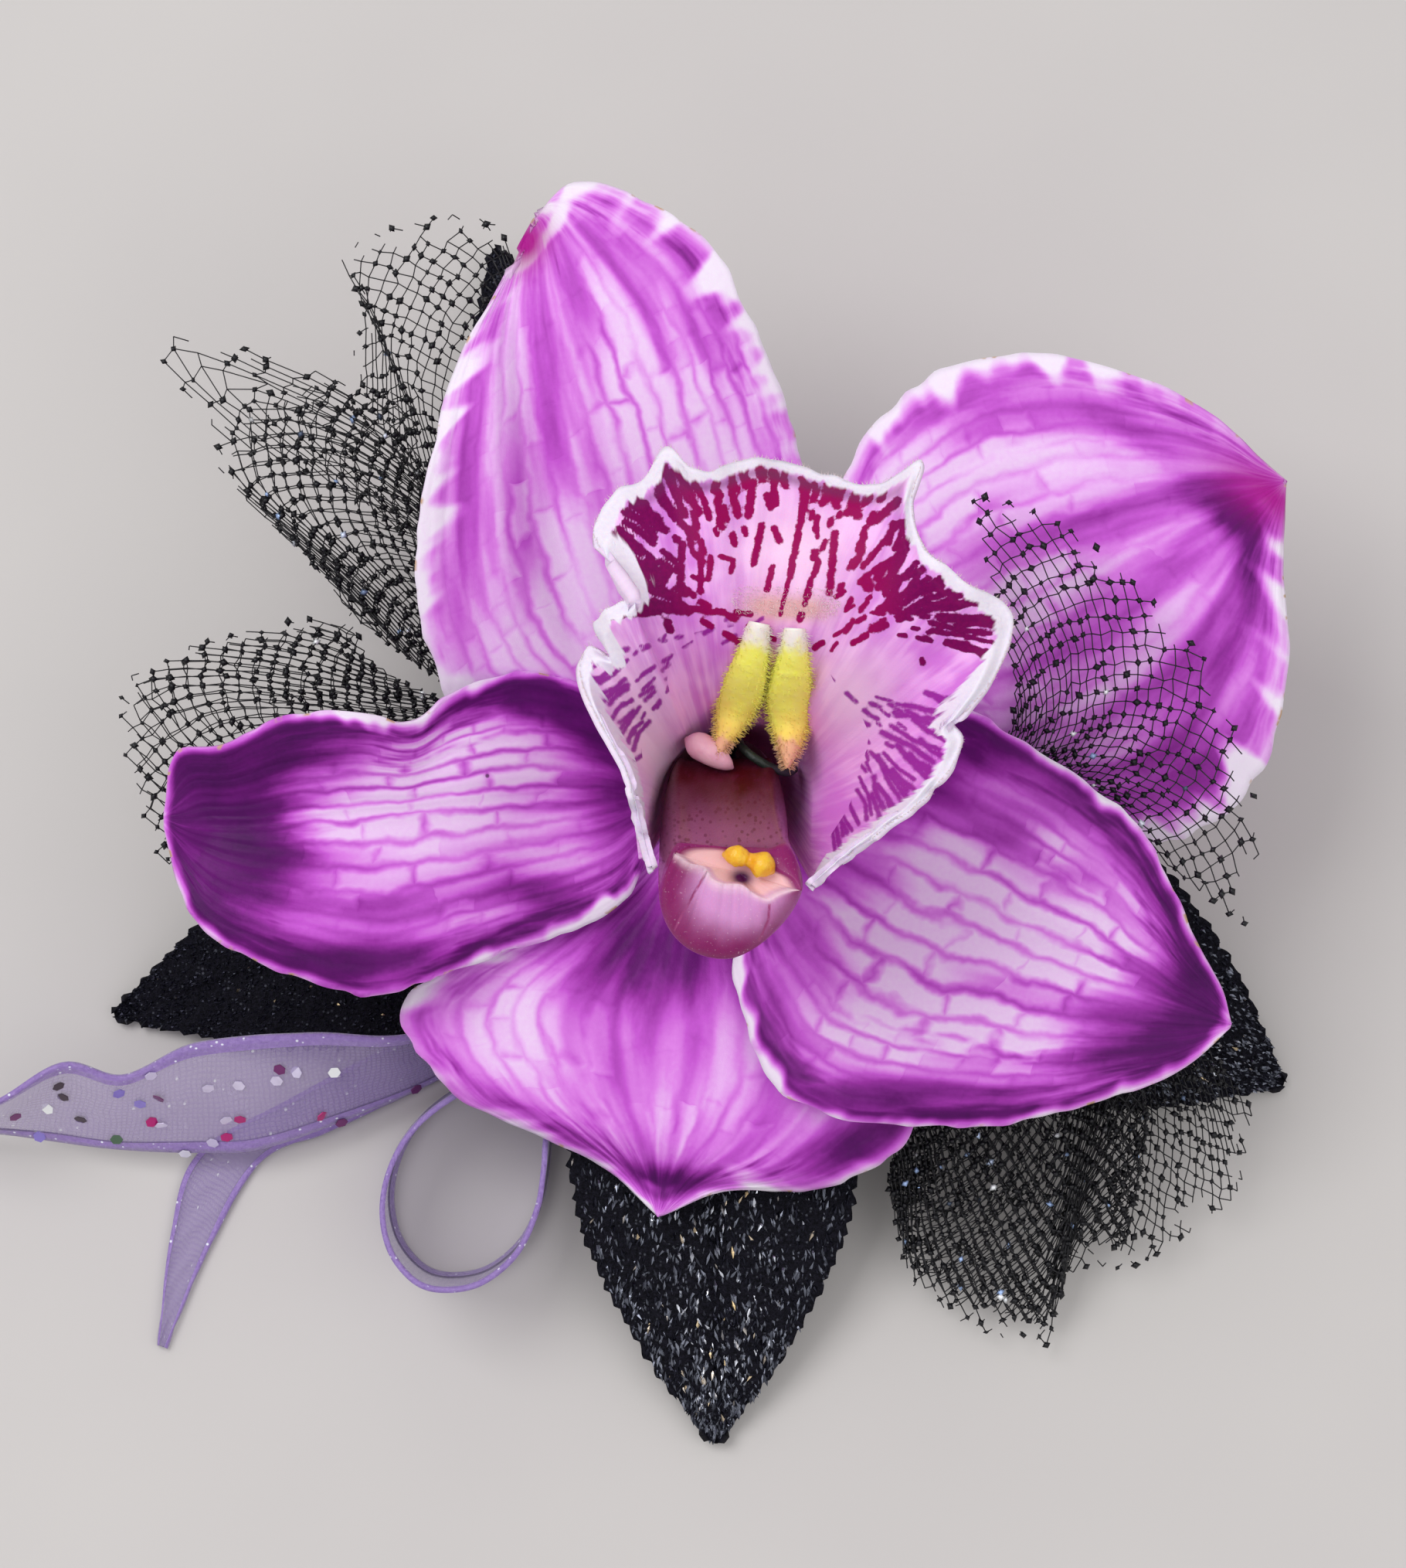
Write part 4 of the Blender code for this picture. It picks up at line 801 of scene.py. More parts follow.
def lip_surface():
    """The lip's front: as-seen points with depths, how far out each lies, and its turn."""
    margin, throat = smooth(LIP_MARGIN, LIP_ROWS), smooth(LIP_THROAT, 160)
    around, throat_turn = turn_shares(margin), turn_shares(throat)
    inner = np.stack([np.interp(around, throat_turn, throat[:, k]) for k in range(3)], 1)
    angle = np.radians(LIP_BASE_START - LIP_BASE_SWEEP * around)
    base = LIP_BASE + LIP_BASE_RADIUS * np.stack([np.cos(angle), np.sin(angle), 0 * angle], 1)
    calm = softened(margin, LIP_CALM_REACH)
    out = np.concatenate([np.linspace(0, LIP_THROAT_SHARE, LIP_TUBE, endpoint=False),
                          np.linspace(LIP_THROAT_SHARE, 1.0, LIP_FLARE)])
    t = np.clip((out - LIP_THROAT_SHARE) / (1 - LIP_THROAT_SHARE), 0, 1)[None, :, None]
    down = np.clip(out / LIP_THROAT_SHARE, 0, 1)[None, :, None]
    seen = base[:, None] + (inner - base)[:, None] * down
    seen = seen + (calm - inner)[:, None] * t + (margin - calm)[:, None] * [1, 1, 0.3] * t ** 6
    t, turn = t[..., 0], around[:, None] + 0 * out

    def waved(seed, count):
        return waves(seed, count, around)[:, None]

    seen[..., 2] += LIP_BULGE * np.exp(-((turn - 0.5) / 0.2) ** 2) * np.sin(math.pi * t ** 0.9)
    seen[..., 2] += (waved(5, 60) * 0.5 + waved(6, 23) * 0.8) * t ** 6
    seen[..., 2] -= LIP_ROLLED_EDGE * step(t, 0.90, 1.0)
    seen[..., 2] += LIP_WRINKLE * waved(7, 90) * np.sin(math.pi * t)
    outward = unit(margin[:, :2] - inner[:, :2])[:, None]
    seen[..., :2] += LIP_FRILL * waved(8, 120)[..., None] * outward * t[..., None] ** 12
    return seen, np.broadcast_to(t, turn.shape), turn, margin


def side_marks(margin, first, last, pitch, inset, reach, half, focus, seed):
    """Marks that start inside a stretch of the lip's margin and point at a focus."""
    rng = np.random.default_rng(seed)
    line = margin[:, :2]
    start, end = (np.argmin(np.hypot(*(line - point).T)) for point in (first, last))
    stretch = smooth(line[start:end + 1:6], 400)
    length = np.linalg.norm(np.diff(stretch, axis=0), axis=1).sum()
    marks = []
    for share in np.arange(0.0, 1.0, pitch / length):
        place = stretch[int(share * 399)]
        aim = unit(np.array(focus) + rng.uniform(-2, 2, 2) - place)
        begin = place + aim * rng.uniform(*inset)
        long = rng.uniform(*reach)
        bend = np.array([-aim[1], aim[0]]) * rng.uniform(-0.35, 0.35)
        marks.append(([begin, begin + aim * long * 0.5 + bend, begin + aim * long],
                      rng.uniform(*half)))
        while rng.random() < 0.6:
            begin = begin + aim * (long + rng.uniform(0.8, 1.4))
            long = rng.uniform(0.3, 1.3)
            marks.append(([begin, begin + aim * long], rng.uniform(*half) * 0.8))
    return marks


def mark_field(seen, marks):
    """1 in the middle of a mark, 0 at its edge and below 0 outside it."""
    best = np.full(seen.shape[:-1], UNMARKED)
    for points, half in marks:
        best = np.maximum(best, 1.0 - to_line(seen, np.array(points, float)) / half)
    return best


def lip_skin():
    s = Surface("lip_skin", Roughness=0.42, Specular_IOR_Level=0.08, Subsurface_Weight=0.12,
                Subsurface_Scale=0.001)
    seen, fan = s.uv("seen"), s.uv("fan", (1.0, 1.0, 1.0))
    broad, tiny = s.noise(seen, 0.28, 2.0), s.noise(seen, 3.2, 3.0)
    veins = s.noise(s.stretch(fan, (55.0, 1.6, 1.0)), 1.0, 3.0, 0.6)
    colour = s.mix(s.soft(s.plus(veins, s.swing(broad, 0.8)), 0.30, 0.66),
                   (0.90, 0.48, 0.90), (0.66, 0.19, 0.70))
    colour = s.wash(colour, "violet", (0.76, 0.20, 0.78))
    # The pale wash holds painted light on the lip's shaded side beside the throat.
    colour = s.wash(colour, "pale", (0.93, 0.64, 0.84))
    colour = s.wash(colour, "rose", (0.78, 0.32, 0.55))
    colour = s.wash(colour, "peach", (0.74, 0.42, 0.38), 0.85)

    wobble = s.plus(s.swing(s.noise(seen, 1.7, 3.0, 0.6), 1.2), s.swing(tiny, 0.4))
    purple = s.soft(s.plus(s.field("dash"), wobble), -0.25, 0.65)
    colour = s.mix(s.times(purple, 0.95), colour, (0.31, 0.012, 0.31))
    red = s.soft(s.plus(s.field("mark"), wobble), 0.0, 0.36)
    crimson = s.mix(s.field("side"), (0.32, 0.001, 0.09), (0.17, 0.0005, 0.085))
    crimson = s.mix(s.times(s.soft(tiny, 0.35, 0.7), 0.3), crimson, (0.30, 0.002, 0.12))
    colour = s.mix(red, colour, crimson)

    margin, rim = s.field("margin"), s.field("rim")
    # A dark line along the ridge where the upper edge of the mid lobe rolls back: painted shadow.
    from_ridge = s.calc("ABSOLUTE", s.minus(margin, s.plus(rim, 0.5)))
    ridge = s.soft(s.minus(0.9, from_ridge), 0.2, 0.9)
    colour = s.mix(s.times(ridge, s.times(s.field("top"), 0.55)), colour, (0.14, 0.02, 0.10))
    jag = s.swing(s.noise(s.stretch(fan, (130.0, 3.0, 1.0)), 1.0, 2.0), 1.8)
    white = s.soft(s.minus(s.times(rim, s.plus(1.0, jag)), margin), -0.22, 0.12)
    colour = s.mix(white, colour, s.mix(tiny, (0.78, 0.70, 0.86), (0.92, 0.86, 0.93)))
    # Far down in the throat the colour darkens to dark rose: painted shade.
    colour = s.wash(colour, "deep", (0.50, 0.06, 0.22), 0.8)
    colour = s.wash(colour, "back", (0.80, 0.46, 0.78), 0.4)
    grain = s.times(s.noise(seen, 8.0, 2.0, 0.6), 0.4)
    relief = s.plus(grain, s.plus(s.times(veins, -0.8), s.times(red, 0.5)))
    return s.coat(colour, s.bump(relief, 0.35, 0.15), s.line(tiny, 0.2, 0.33))


def make_lip():
    """The lip with its marks; returns its as-seen front for what stands on it."""
    seen, t, turn, margin = lip_surface()
    spots = seen[..., :2]
    edge = np.where(t < 0.45, FAR_FROM_EDGE, to_line(spots, margin[::2, :2]))
    marks = [side_marks(margin, *stretch, seed)
             for seed, stretch in enumerate(RED_STRETCHES + PURPLE_STRETCHES, 1)]
    red = sum(marks[:len(RED_STRETCHES)], MARKS)
    purple = sum(marks[len(RED_STRETCHES):], [])
    fields = {label: np.clip(blobs(spots, places), 0, 1) for label, places in LIP_TINTS.items()}
    fields.update(
        margin=edge, rim=np.interp(turn, *LIP_RIM),
        mark=np.where(t < 0.3, UNMARKED, mark_field(spots, red)),
        dash=np.where(t < 0.3, UNMARKED, mark_field(spots, purple)),
        side=step(np.abs(spots[..., 0] - 6.5), 5.0, 10.0),
        # where the painted shadow of the rolled-back ridge reaches, near the upper edge of the mid lobe
        top=step(spots[..., 1], 19.0, 22.5),
        # far down in the throat, where the painted shade goes
        deep=(1 - step(seen[..., 2], -4.0, 5.0)) * (t < 0.05))
    thinning = (LIP_THICKNESS - LIP_EDGE_THICKNESS) * step(edge, 0.0, 2.0)
    thickness = LIP_EDGE_THICKNESS + thinning
    sheet_piece("lip", placed(seen), thickness, lip_skin(),
                dict(seen=spots / 100, fan=np.stack([turn, t], -1)), fields)
    return seen, t, turn


LIP_SEEN, LIP_OUT, LIP_TURN = make_lip()
ON_MID_LOBE = (LIP_OUT > 0.02) & (np.abs(LIP_TURN - 0.52) < 0.16)


def lip_depth(x, y):
    """Depth of the lip's front at one as-seen point of its mid lobe."""
    points = LIP_SEEN[ON_MID_LOBE]
    far = np.hypot(points[:, 0] - x, points[:, 1] - y)
    near = np.argsort(far)[:6]
    share = 1.0 / (far[near] + 0.05)
    return float((points[near, 2] * share).sum() / share.sum())


# ---------------------------------------------------------------- keels, callus and fuzz

KEELS = dict(
    left=dict(path=[(4.2, 12.1), (3.75, 9.9), (2.85, 7.0), (2.1, 4.7), (1.35, 2.9), (1.0, 1.9)],
              half=[0.8, 1.2, 1.6, 1.6, 0.85, 0.2]),
    right=dict(path=[(6.9, 11.7), (6.8, 9.7), (6.5, 7.0), (6.5, 4.8), (6.5, 3.0), (6.3, 1.2)],
               half=[0.8, 1.15, 1.6, 1.65, 1.05, 0.2]))
KEEL_RINGS, KEEL_SIDES = 60, 28
KEEL_HAIRS, MARGIN_HAIRS, BAND_HAIRS = 3200, 900, 500
KEEL_HAIR_RADIUS, FUZZ_RADIUS = 0.032, 0.022
KEEL_HAIR_LENGTHS = (0.2, 0.55)
HAIR_ROOT = 0.05


def keel_skin():
    s = Surface("keel_skin", Roughness=0.7, Subsurface_Weight=0.15, Subsurface_Scale=0.001,
                Sheen_Weight=0.6, Sheen_Roughness=0.5, Sheen_Tint=(1.0, 0.95, 0.40, 1.0))
    place = s.place()
    along = s.plus(s.field("along"), s.swing(s.noise(place, 0.8, 2.0), 0.3))
    yellow = s.mix(s.noise(place, 2.5, 3.0), (1.0, 1.0, 0.06), (1.0, 1.0, 0.22))
    colour = s.mix(s.soft(along, 0.06, 0.24), (0.95, 0.90, 0.84), yellow)
    colour = s.mix(s.soft(along, 0.5, 0.8), colour, (1.0, 0.74, 0.14))
    colour = s.mix(s.soft(along, 0.78, 0.88), colour, (0.86, 0.45, 0.27))
    return s.coat(colour, s.bump(s.noise(place, 6.0, 3.0, 0.7), 0.35, 0.12))


def keel_rings(spec):
    """Rings of one keel on the lip's front, and how far along it each ring is."""
    line, half = smooth(spec["path"], KEEL_RINGS), profile(spec["half"], KEEL_RINGS)
    share = np.linspace(0, 1, KEEL_RINGS)
    depth = np.array([[lip_depth(x, y)] for x, y in line])
    tail = step(share, 0.45, 1.0)
    depth = softened(depth, 5)[:, 0] * (1 - tail) + tail * max(depth.min() + 2.6, 8.6)
    across = unit(np.gradient(line, axis=0))[:, ::-1] * [1, -1]
    angles = circle(KEEL_SIDES)
    lift = np.where(np.sin(angles) > 0, 1.0, 0.3) * np.sin(angles)
    rings = np.zeros((KEEL_RINGS, KEEL_SIDES, 3))
    rings[..., :2] = line[:, None] + across[:, None] * (half[:, None] * np.cos(angles))[..., None]
    rings[..., 2] = depth[:, None] + 0.2 + (0.30 + 0.85 * half)[:, None] * lift
    return placed(rings), share


def make_keels():
    """Two yellow ridges in the middle of the lip, furry at their lower ends."""
    rng = np.random.default_rng(9)
    skin = keel_skin()
    for name, spec in KEELS.items():
        rings, share = keel_rings(spec)
        centre = rings.mean(axis=1, keepdims=True)
        lumps = 1 + 0.03 * rng.standard_normal(rings.shape[:2])[..., None]
        ridge = ring_solid(centre + (rings - centre) * lumps)
        vertices = ridge[0]
        along = np.repeat(share, KEEL_SIDES)
        pick = rng.integers(KEEL_SIDES, len(vertices), KEEL_HAIRS)
        pick = pick[rng.random(KEEL_HAIRS) < 0.25 + 0.75 * along[pick]]
        away = unit(vertices[pick] - np.repeat(centre[:, 0], KEEL_SIDES, 0)[pick])
        beside = (np.abs(away[:, 2]) < 0.6) | (rng.random(len(pick)) < 0.2)
        pick, away = pick[beside], away[beside]
        lean = unit(away + rng.normal(0, 0.35, away.shape) + [0, -0.35, 0.1])
        tips = vertices[pick] + lean * rng.uniform(*KEEL_HAIR_LENGTHS, (len(pick), 1))
        fur = rods(vertices[pick] - away * HAIR_ROOT, tips, KEEL_HAIR_RADIUS, taper=0.4)
        fields = dict(along=np.concatenate([along, np.repeat(along[pick], 6)]))
        piece("lip_keel_" + name, joined(ridge, fur), [skin], "lip", fields=fields)


def make_callus():
    """The pink swelling beside the lower end of the left keel."""
    path = placed(smooth([(-1.3, 3.4, 6.8), (0.2, 2.6, 8.2), (1.5, 1.7, 8.6), (2.2, 1.2, 8.0)], 40))
    skin = mottled("callus_skin", (0.9, 3.0), (0.70, 0.26, 0.42), (0.90, 0.60, 0.62),
                   ((6.0, 2.0), 0.2, 0.1), Roughness=0.5, Subsurface_Weight=0.15,
                   Subsurface_Scale=0.001)
    piece("lip_callus", tube(path, profile([0.15, 0.95, 1.0, 0.75, 0.15], 40), 24), [skin],
          "lip")


def make_lip_fuzz():
    """Fine pale hairs on the lip's margin and on the fleshy band above the keels."""
    rng = np.random.default_rng(12)
    grid = placed(LIP_SEEN)
    normals = grid_normals(grid)
    roots, ends = [], []

    def add_hairs(root, lean, shortest, longest):
        lean = unit(lean)
        roots.append(root - HAIR_ROOT * lean)
        ends.append(root + lean * rng.uniform(shortest, longest, (len(root), 1)))

    rows = rng.integers(3, LIP_ROWS - 3, MARGIN_HAIRS)
    outward = unit(grid[:, -1] - grid[:, -4])[rows]
    spread = rng.normal(0, 0.4, (len(rows), 3))
    add_hairs(grid[rows, -1], outward + 0.5 * normals[rows, -1] + spread, 0.12, 0.34)
    from_band = to_line(LIP_SEEN[..., :2], np.array([(3.2, 13.8), (9.2, 13.6)]))
    band = np.argwhere((from_band < 1.1) & ON_MID_LOBE)
    i, j = band[rng.integers(0, len(band), BAND_HAIRS)].T
    add_hairs(grid[i, j], normals[i, j] + rng.normal(0, 0.5, (len(i), 3)), 0.15, 0.40)
    skin = mottled("fuzz", (0.5, 1.0), (0.92, 0.80, 0.86), (0.88, 0.72, 0.66), Roughness=0.6)
    hairs = rods(np.concatenate(roots), np.concatenate(ends), FUZZ_RADIUS, taper=0.3)
    piece("lip_fuzz", hairs, [skin], "lip")


make_keels()
make_callus()
make_lip_fuzz()


# ---------------------------------------------------------------- column and pollinia
# Each station of the column: depth, middle x, half width, and heights of its hollow face, its
# widest place and its back.

COLUMN_STATIONS = [(-7.05, 1.7, 2.4, -0.1, -2.0, -4.0), (0, 1.7, 4.0, 1.5, -2.6, -5.8),
                   (6, 1.6, 4.7, 1.7, -3.6, -8.0), (12, 1.6, 4.9, -1.2, -5.6, -10.6),
                   (17, 1.9, 5.2, -4.0, -7.2, -12.6), (18.8, 2.15, 5.35, -4.7, -7.8, -13.1)]
CAP_RIM = [(7.4, -8.0), (6.7, -8.0), (5.7, -8.3), (4.9, -8.7), (3.9, -8.3), (2.9, -7.6),
           (1.5, -7.5), (0.6, -7.1), (0.0, -6.2), (-1.2, -5.9), (-2.2, -5.2)]
CAP_TOP = [(-2.2, -5.2), (-1.7, -4.8), (-0.7, -4.6), (1.4, -4.7), (3.9, -5.3), (5.5, -6.4),
           (6.8, -7.1), (7.4, -8.0)]
CAP_CENTRE = (2.7, -6.6)
CAP_LIFT, CAP_DISH, CAP_BOW = 2.4, 1.3, 1.2
SEAMS = [[(0.2, -6.7), (-0.9, -8.6), (-2.2, -11.0)], [(5.0, -9.0), (4.9, -10.2), (4.2, -11.8)]]
SEAM_DEPTH, SEAM_HALF = 0.18, 0.16
COLUMN_SIDES = 120
BODY_RINGS, CAP_RINGS, DISH_RINGS = 60, 21, 15


def column_rings():
    """Rings of the column: its body, the cap's front, its rim and the dish inside."""
    angles = circle(COLUMN_SIDES)
    cos, sin = np.cos(angles), np.sin(angles)
    rings = []
    for depth, x, wide, face, middle, back in smooth(COLUMN_STATIONS, BODY_RINGS):
        hollow = 0.9 * np.exp(-((np.abs(cos) - 0.78) / 0.16) ** 2)
        up = (face - middle) * np.clip(1 - np.abs(cos) ** 4, 0, 1) ** 0.5 + hollow * (sin > 0)
        lean = 1 + np.where(cos > 0, 0.26, 0.12) * cos * sin * (sin < 0) * step(depth, 6.0, 16.0)
        y = middle + np.where(sin > 0, up, (middle - back) * sin * lean)
        rings.append(np.stack([x + wide * cos * lean, y, 0 * y + depth], 1))
    last = rings[-1]
    rng = np.random.default_rng(4)
    half = COLUMN_SIDES // 2
    rim = np.concatenate([smooth(line[::-1], half + 1)[:-1] for line in (CAP_TOP, CAP_RIM)])
    rim = np.column_stack([rim, 0 * rim[:, 0] + last[0, 2] + CAP_LIFT])
    rim[:half, 2] -= CAP_BOW * np.sin(np.linspace(0, math.pi, half))
    rim[half:, 2] += 0.06 * rng.standard_normal(half)
    for bend in np.linspace(0, math.pi / 2, CAP_RINGS + 1)[1:]:
        ring = last + (rim - last) * (1 - math.cos(bend))
        ring[:, 2] = last[:, 2] + (rim[:, 2] - last[:, 2]) * math.sin(bend)
        rings.append(ring)
    centre = np.array([*CAP_CENTRE, rim[:, 2].mean() - CAP_DISH])
    for share in np.linspace(0, 0.94, DISH_RINGS + 1)[1:]:
        ring = rim + (centre - rim) * share
        sink = math.sin(share * math.pi / 2) ** 0.8
        ring[:, 2] = rim[:, 2] + (centre[2] - rim[:, 2]) * sink
        rings.append(ring)
    return np.array(rings)


def column_skin():
    s = Surface("column_skin", Specular_IOR_Level=0.22, Subsurface_Weight=0.12,
                Subsurface_Scale=0.001)
    seen = s.uv("seen")
    broad, tiny = s.noise(seen, 0.5, 2.0), s.noise(seen, 4.0, 3.0)
    # The face darkens toward its inner end, far into the throat: painted shade.
    face = s.mix(s.plus(s.field("inner"), s.swing(broad, 0.5)), (0.32, 0.09, 0.20),
                 (0.070, 0.003, 0.006))
    dots = s.spots(seen, 2.5, (0.42, 0.26), (0.15, 0.3), randomness=0.9)
    face = s.mix(s.times(dots, 0.6), face, (0.11, 0.008, 0.03))
    lit = s.soft(s.plus(s.field("glow"), s.swing(broad, 0.3)), 0.1, 0.9)
    outer = s.mix(lit, (0.24, 0.012, 0.12), (0.66, 0.29, 0.60))
    outer = s.mix(s.soft(s.field("seam"), 0.15, 0.04), outer, (0.36, 0.06, 0.20))
    outer = s.mix(s.times(s.soft(tiny, 0.62, 0.75), 0.35), outer, (0.88, 0.60, 0.76))
    cream = s.wash(s.mix(broad, (0.88, 0.55, 0.50), (0.86, 0.50, 0.60)), "stigma",
                   (0.10, 0.012, 0.09))
    colour = s.mix(s.field("cap"), face, outer)
    colour = s.mix(s.field("cream"), colour, cream)
    colour = s.wash(colour, "rim", (0.90, 0.66, 0.74), 0.8)
    return s.coat(colour, s.bump(s.noise(seen, 7.0, 2.0), 0.25, 0.1), s.line(tiny, 0.2, 0.24))


def make_column():
    """The column and its cap; its fields tell the skin where face, cap, dish and seams are."""
    rings = column_rings()
    spots = rings[..., :2]
    order = np.arange(len(rings))[:, None] - BODY_RINGS + 0 * spots[..., 0]
    lower = np.repeat([0.0, 1.0], COLUMN_SIDES // 2)[None, :]
    cap = np.where(order < 0, lower, np.maximum(lower, step(order, 0, 6)))
    cream = step(order, CAP_RINGS, CAP_RINGS + 3)
    rim = np.exp(-((order - CAP_RINGS + 0.5) / 1.6) ** 2) * lower
    glow = blobs(spots, [(2.4, -8.9, 3.6, 2.6, 0, 1.0), (0.4, -7.2, 1.4, 1.8, 0, 0.4),
                         (6.0, -8.4, 1.4, 1.2, 0, 0.2)])
    seam = np.minimum(*(to_line(spots, np.array(line)) for line in SEAMS))
    seam = np.where((order >= -12) & (order < CAP_RINGS), seam, 1.0)
    stigma = blobs(spots, [(2.9, -7.05, 0.75, 0.5, -10, 1.3)]) * cream
    stigma = np.clip(stigma, 0, 1)
    # How far the face runs into the throat, where its painted shade falls.
    inner = step(spots[..., 1], -5.5, 1.0)
    carved = rings.copy()
    carved[..., 2] -= SEAM_DEPTH * np.exp(-(seam / SEAM_HALF) ** 2) + 0.5 * stigma
    fields = dict(cap=cap, cream=cream, rim=rim, glow=glow, seam=seam, stigma=stigma, inner=inner)
    piece("column", ring_solid(placed(carved)), [column_skin()], "column",
          dict(seen=spots.reshape(-1, 2) / 100), fields)


def make_pollinarium():
    """Two waxy yellow pollinia on their strap."""
    s = Surface("pollinia_wax", Roughness=0.28, Subsurface_Weight=0.15, Subsurface_Scale=0.001)
    colour = s.mix(s.soft(s.noise(s.place(), 1.2, 3.0), 0.35, 0.7), (0.88, 0.50, 0.02),
                   (0.80, 0.34, 0.01))
    wax = s.coat(colour, s.bump(s.noise(s.place(), 3.0, 3.0), 0.5, 0.2))
    path = placed(smooth([(1.5, -5.3, 20.0), (2.5, -5.4, 20.4), (3.5, -5.7, 20.3), (4.5, -6.1, 20.4),
                          (5.3, -6.6, 20.0)], 60))
    radii = profile([0.2, 0.78, 0.52, 0.95, 0.25], 60) + 0.04 * waves(3, 20, np.linspace(0, 1, 60))
    piece("pollinarium", tube(path, radii, 24), [wax], "pollinarium")


make_column()
make_pollinarium()


# ---------------------------------------------------------------- wire, ovary and stem

GAP = 0.3
REST = 0.15
HOOK_RADIUS = 0.33
LEAF_WIRE_RADIUS, LEAF_WIRE_SHOWN = 0.45, 0.43
LEAF_THICKNESS = 0.7
TIE_THICKNESS = 0.8
STEM_HEAD_Y, STEM_END_Y = -9.0, -29.0
STEM_HEAD_RADIUS, STEM_END_RADIUS = 3.1, 2.0
STEM_SIDES, STEM_STATIONS = 36, 110
TAPE_TURNS = 6.5
SOCKET_DEPTH = 6.0
PEDICEL_RADIUS = 1.8
KNOB = [(1.1, -0.5, -7.4), (1.1, -0.5, -7.5), (1.1, -0.5, -7.9), (1.1, -0.5, -8.0),
        (0, 0, -8.05), (0, 0, -9.0), (0, 0, -12.0)]
KNOB_RADII = [4.5, 4.6, 4.6, 4.5, 3.0, 3.0, 3.0]
OVARY_RINGS, OVARY_SIDES = 70, 48


def make_flower_wire():
    """The floral wire's hook, which bends in the throat; returns the wire's paper."""
    route = [(2.2, 1.9, -6.7), (2.2, 2.5, -1.0), (2.6, 3.3, 4.6), (2.9, 2.8, 6.5), (3.8, 2.0, 7.2),
             (5.2, 1.2, 7.0), (6.3, 0.9, 6.0), (6.8, 1.1, 3.6)]
    paper = mottled("wire_paper", (3.0, 3.0), (0.006, 0.012, 0.010), (0.020, 0.034, 0.026),
                    ((6.0, 2.0), 0.4, 0.1), Roughness=0.5)
    piece("flower_wire", tube(placed(smooth(route, 70)), np.full(70, HOOK_RADIUS), 14), [paper],
          "flower_wire")
    return paper


def stem_axis(y):
    """Centre and radius of the taped stem at height y in the face."""
    share = (y - STEM_HEAD_Y) / (STEM_END_Y - STEM_HEAD_Y)
    radius = STEM_HEAD_RADIUS + (STEM_END_RADIUS - STEM_HEAD_RADIUS) * share
    lift = radius + TIE_THICKNESS + GAP + REST
    return np.array([0.0, y, floor_depth(y) + lift / math.cos(TILT)]), radius


def make_ovary():
    """The knob that carries the flower's parts, the ribbed ovary and the pedicel's bend."""
    end = stem_axis(STEM_HEAD_Y - SOCKET_DEPTH + 1.0)[0]
    route = [(0, 0, -12.4), (0, 0, -15.5), (0, -1.2, -18.6), (0, -4.6, -21.0),
             stem_axis(STEM_HEAD_Y)[0], end]
    share = np.linspace(0, 1, OVARY_RINGS)
    radii = np.interp(11 * share, [0, 0.8, 6, 11], [2.9, 2.4, PEDICEL_RADIUS, PEDICEL_RADIUS])
    ribs = 0.05 * step(share, 0.02, 0.2) * (1 - step(share, 0.55, 0.7))
    ribs = np.concatenate([np.zeros(len(KNOB)), ribs])
    solid = tube(np.vstack([KNOB, smooth(route, OVARY_RINGS)]), np.concatenate([KNOB_RADII, radii]),
                 OVARY_SIDES, lambda i, angles: 1 + ribs[i] * np.cos(6 * angles), square=len(KNOB))
    head = np.repeat([1.0, 0.6, 0.0], [4 * OVARY_SIDES, 2 * OVARY_SIDES,
                                       (OVARY_RINGS + 1) * OVARY_SIDES])

    s = Surface("ovary_skin", Roughness=0.5, Subsurface_Weight=0.1, Subsurface_Scale=0.001)
    place = s.place()
    green = s.mix(s.noise(place, 0.6, 4.0), (0.17, 0.20, 0.07), (0.34, 0.36, 0.16))
    green = s.mix(s.soft(s.noise(place, 0.25, 2.0), 0.5, 0.7), green, (0.30, 0.14, 0.20))
    colour = s.mix(s.soft(s.field("head"), 0.2, 0.8), green, (0.075, 0.010, 0.018))
    skin = s.coat(colour, s.bump(s.noise(place, 4.0, 3.0), 0.4, 0.1))
    piece("ovary_pedicel", solid, [skin], "ovary_pedicel", fields=dict(head=head))


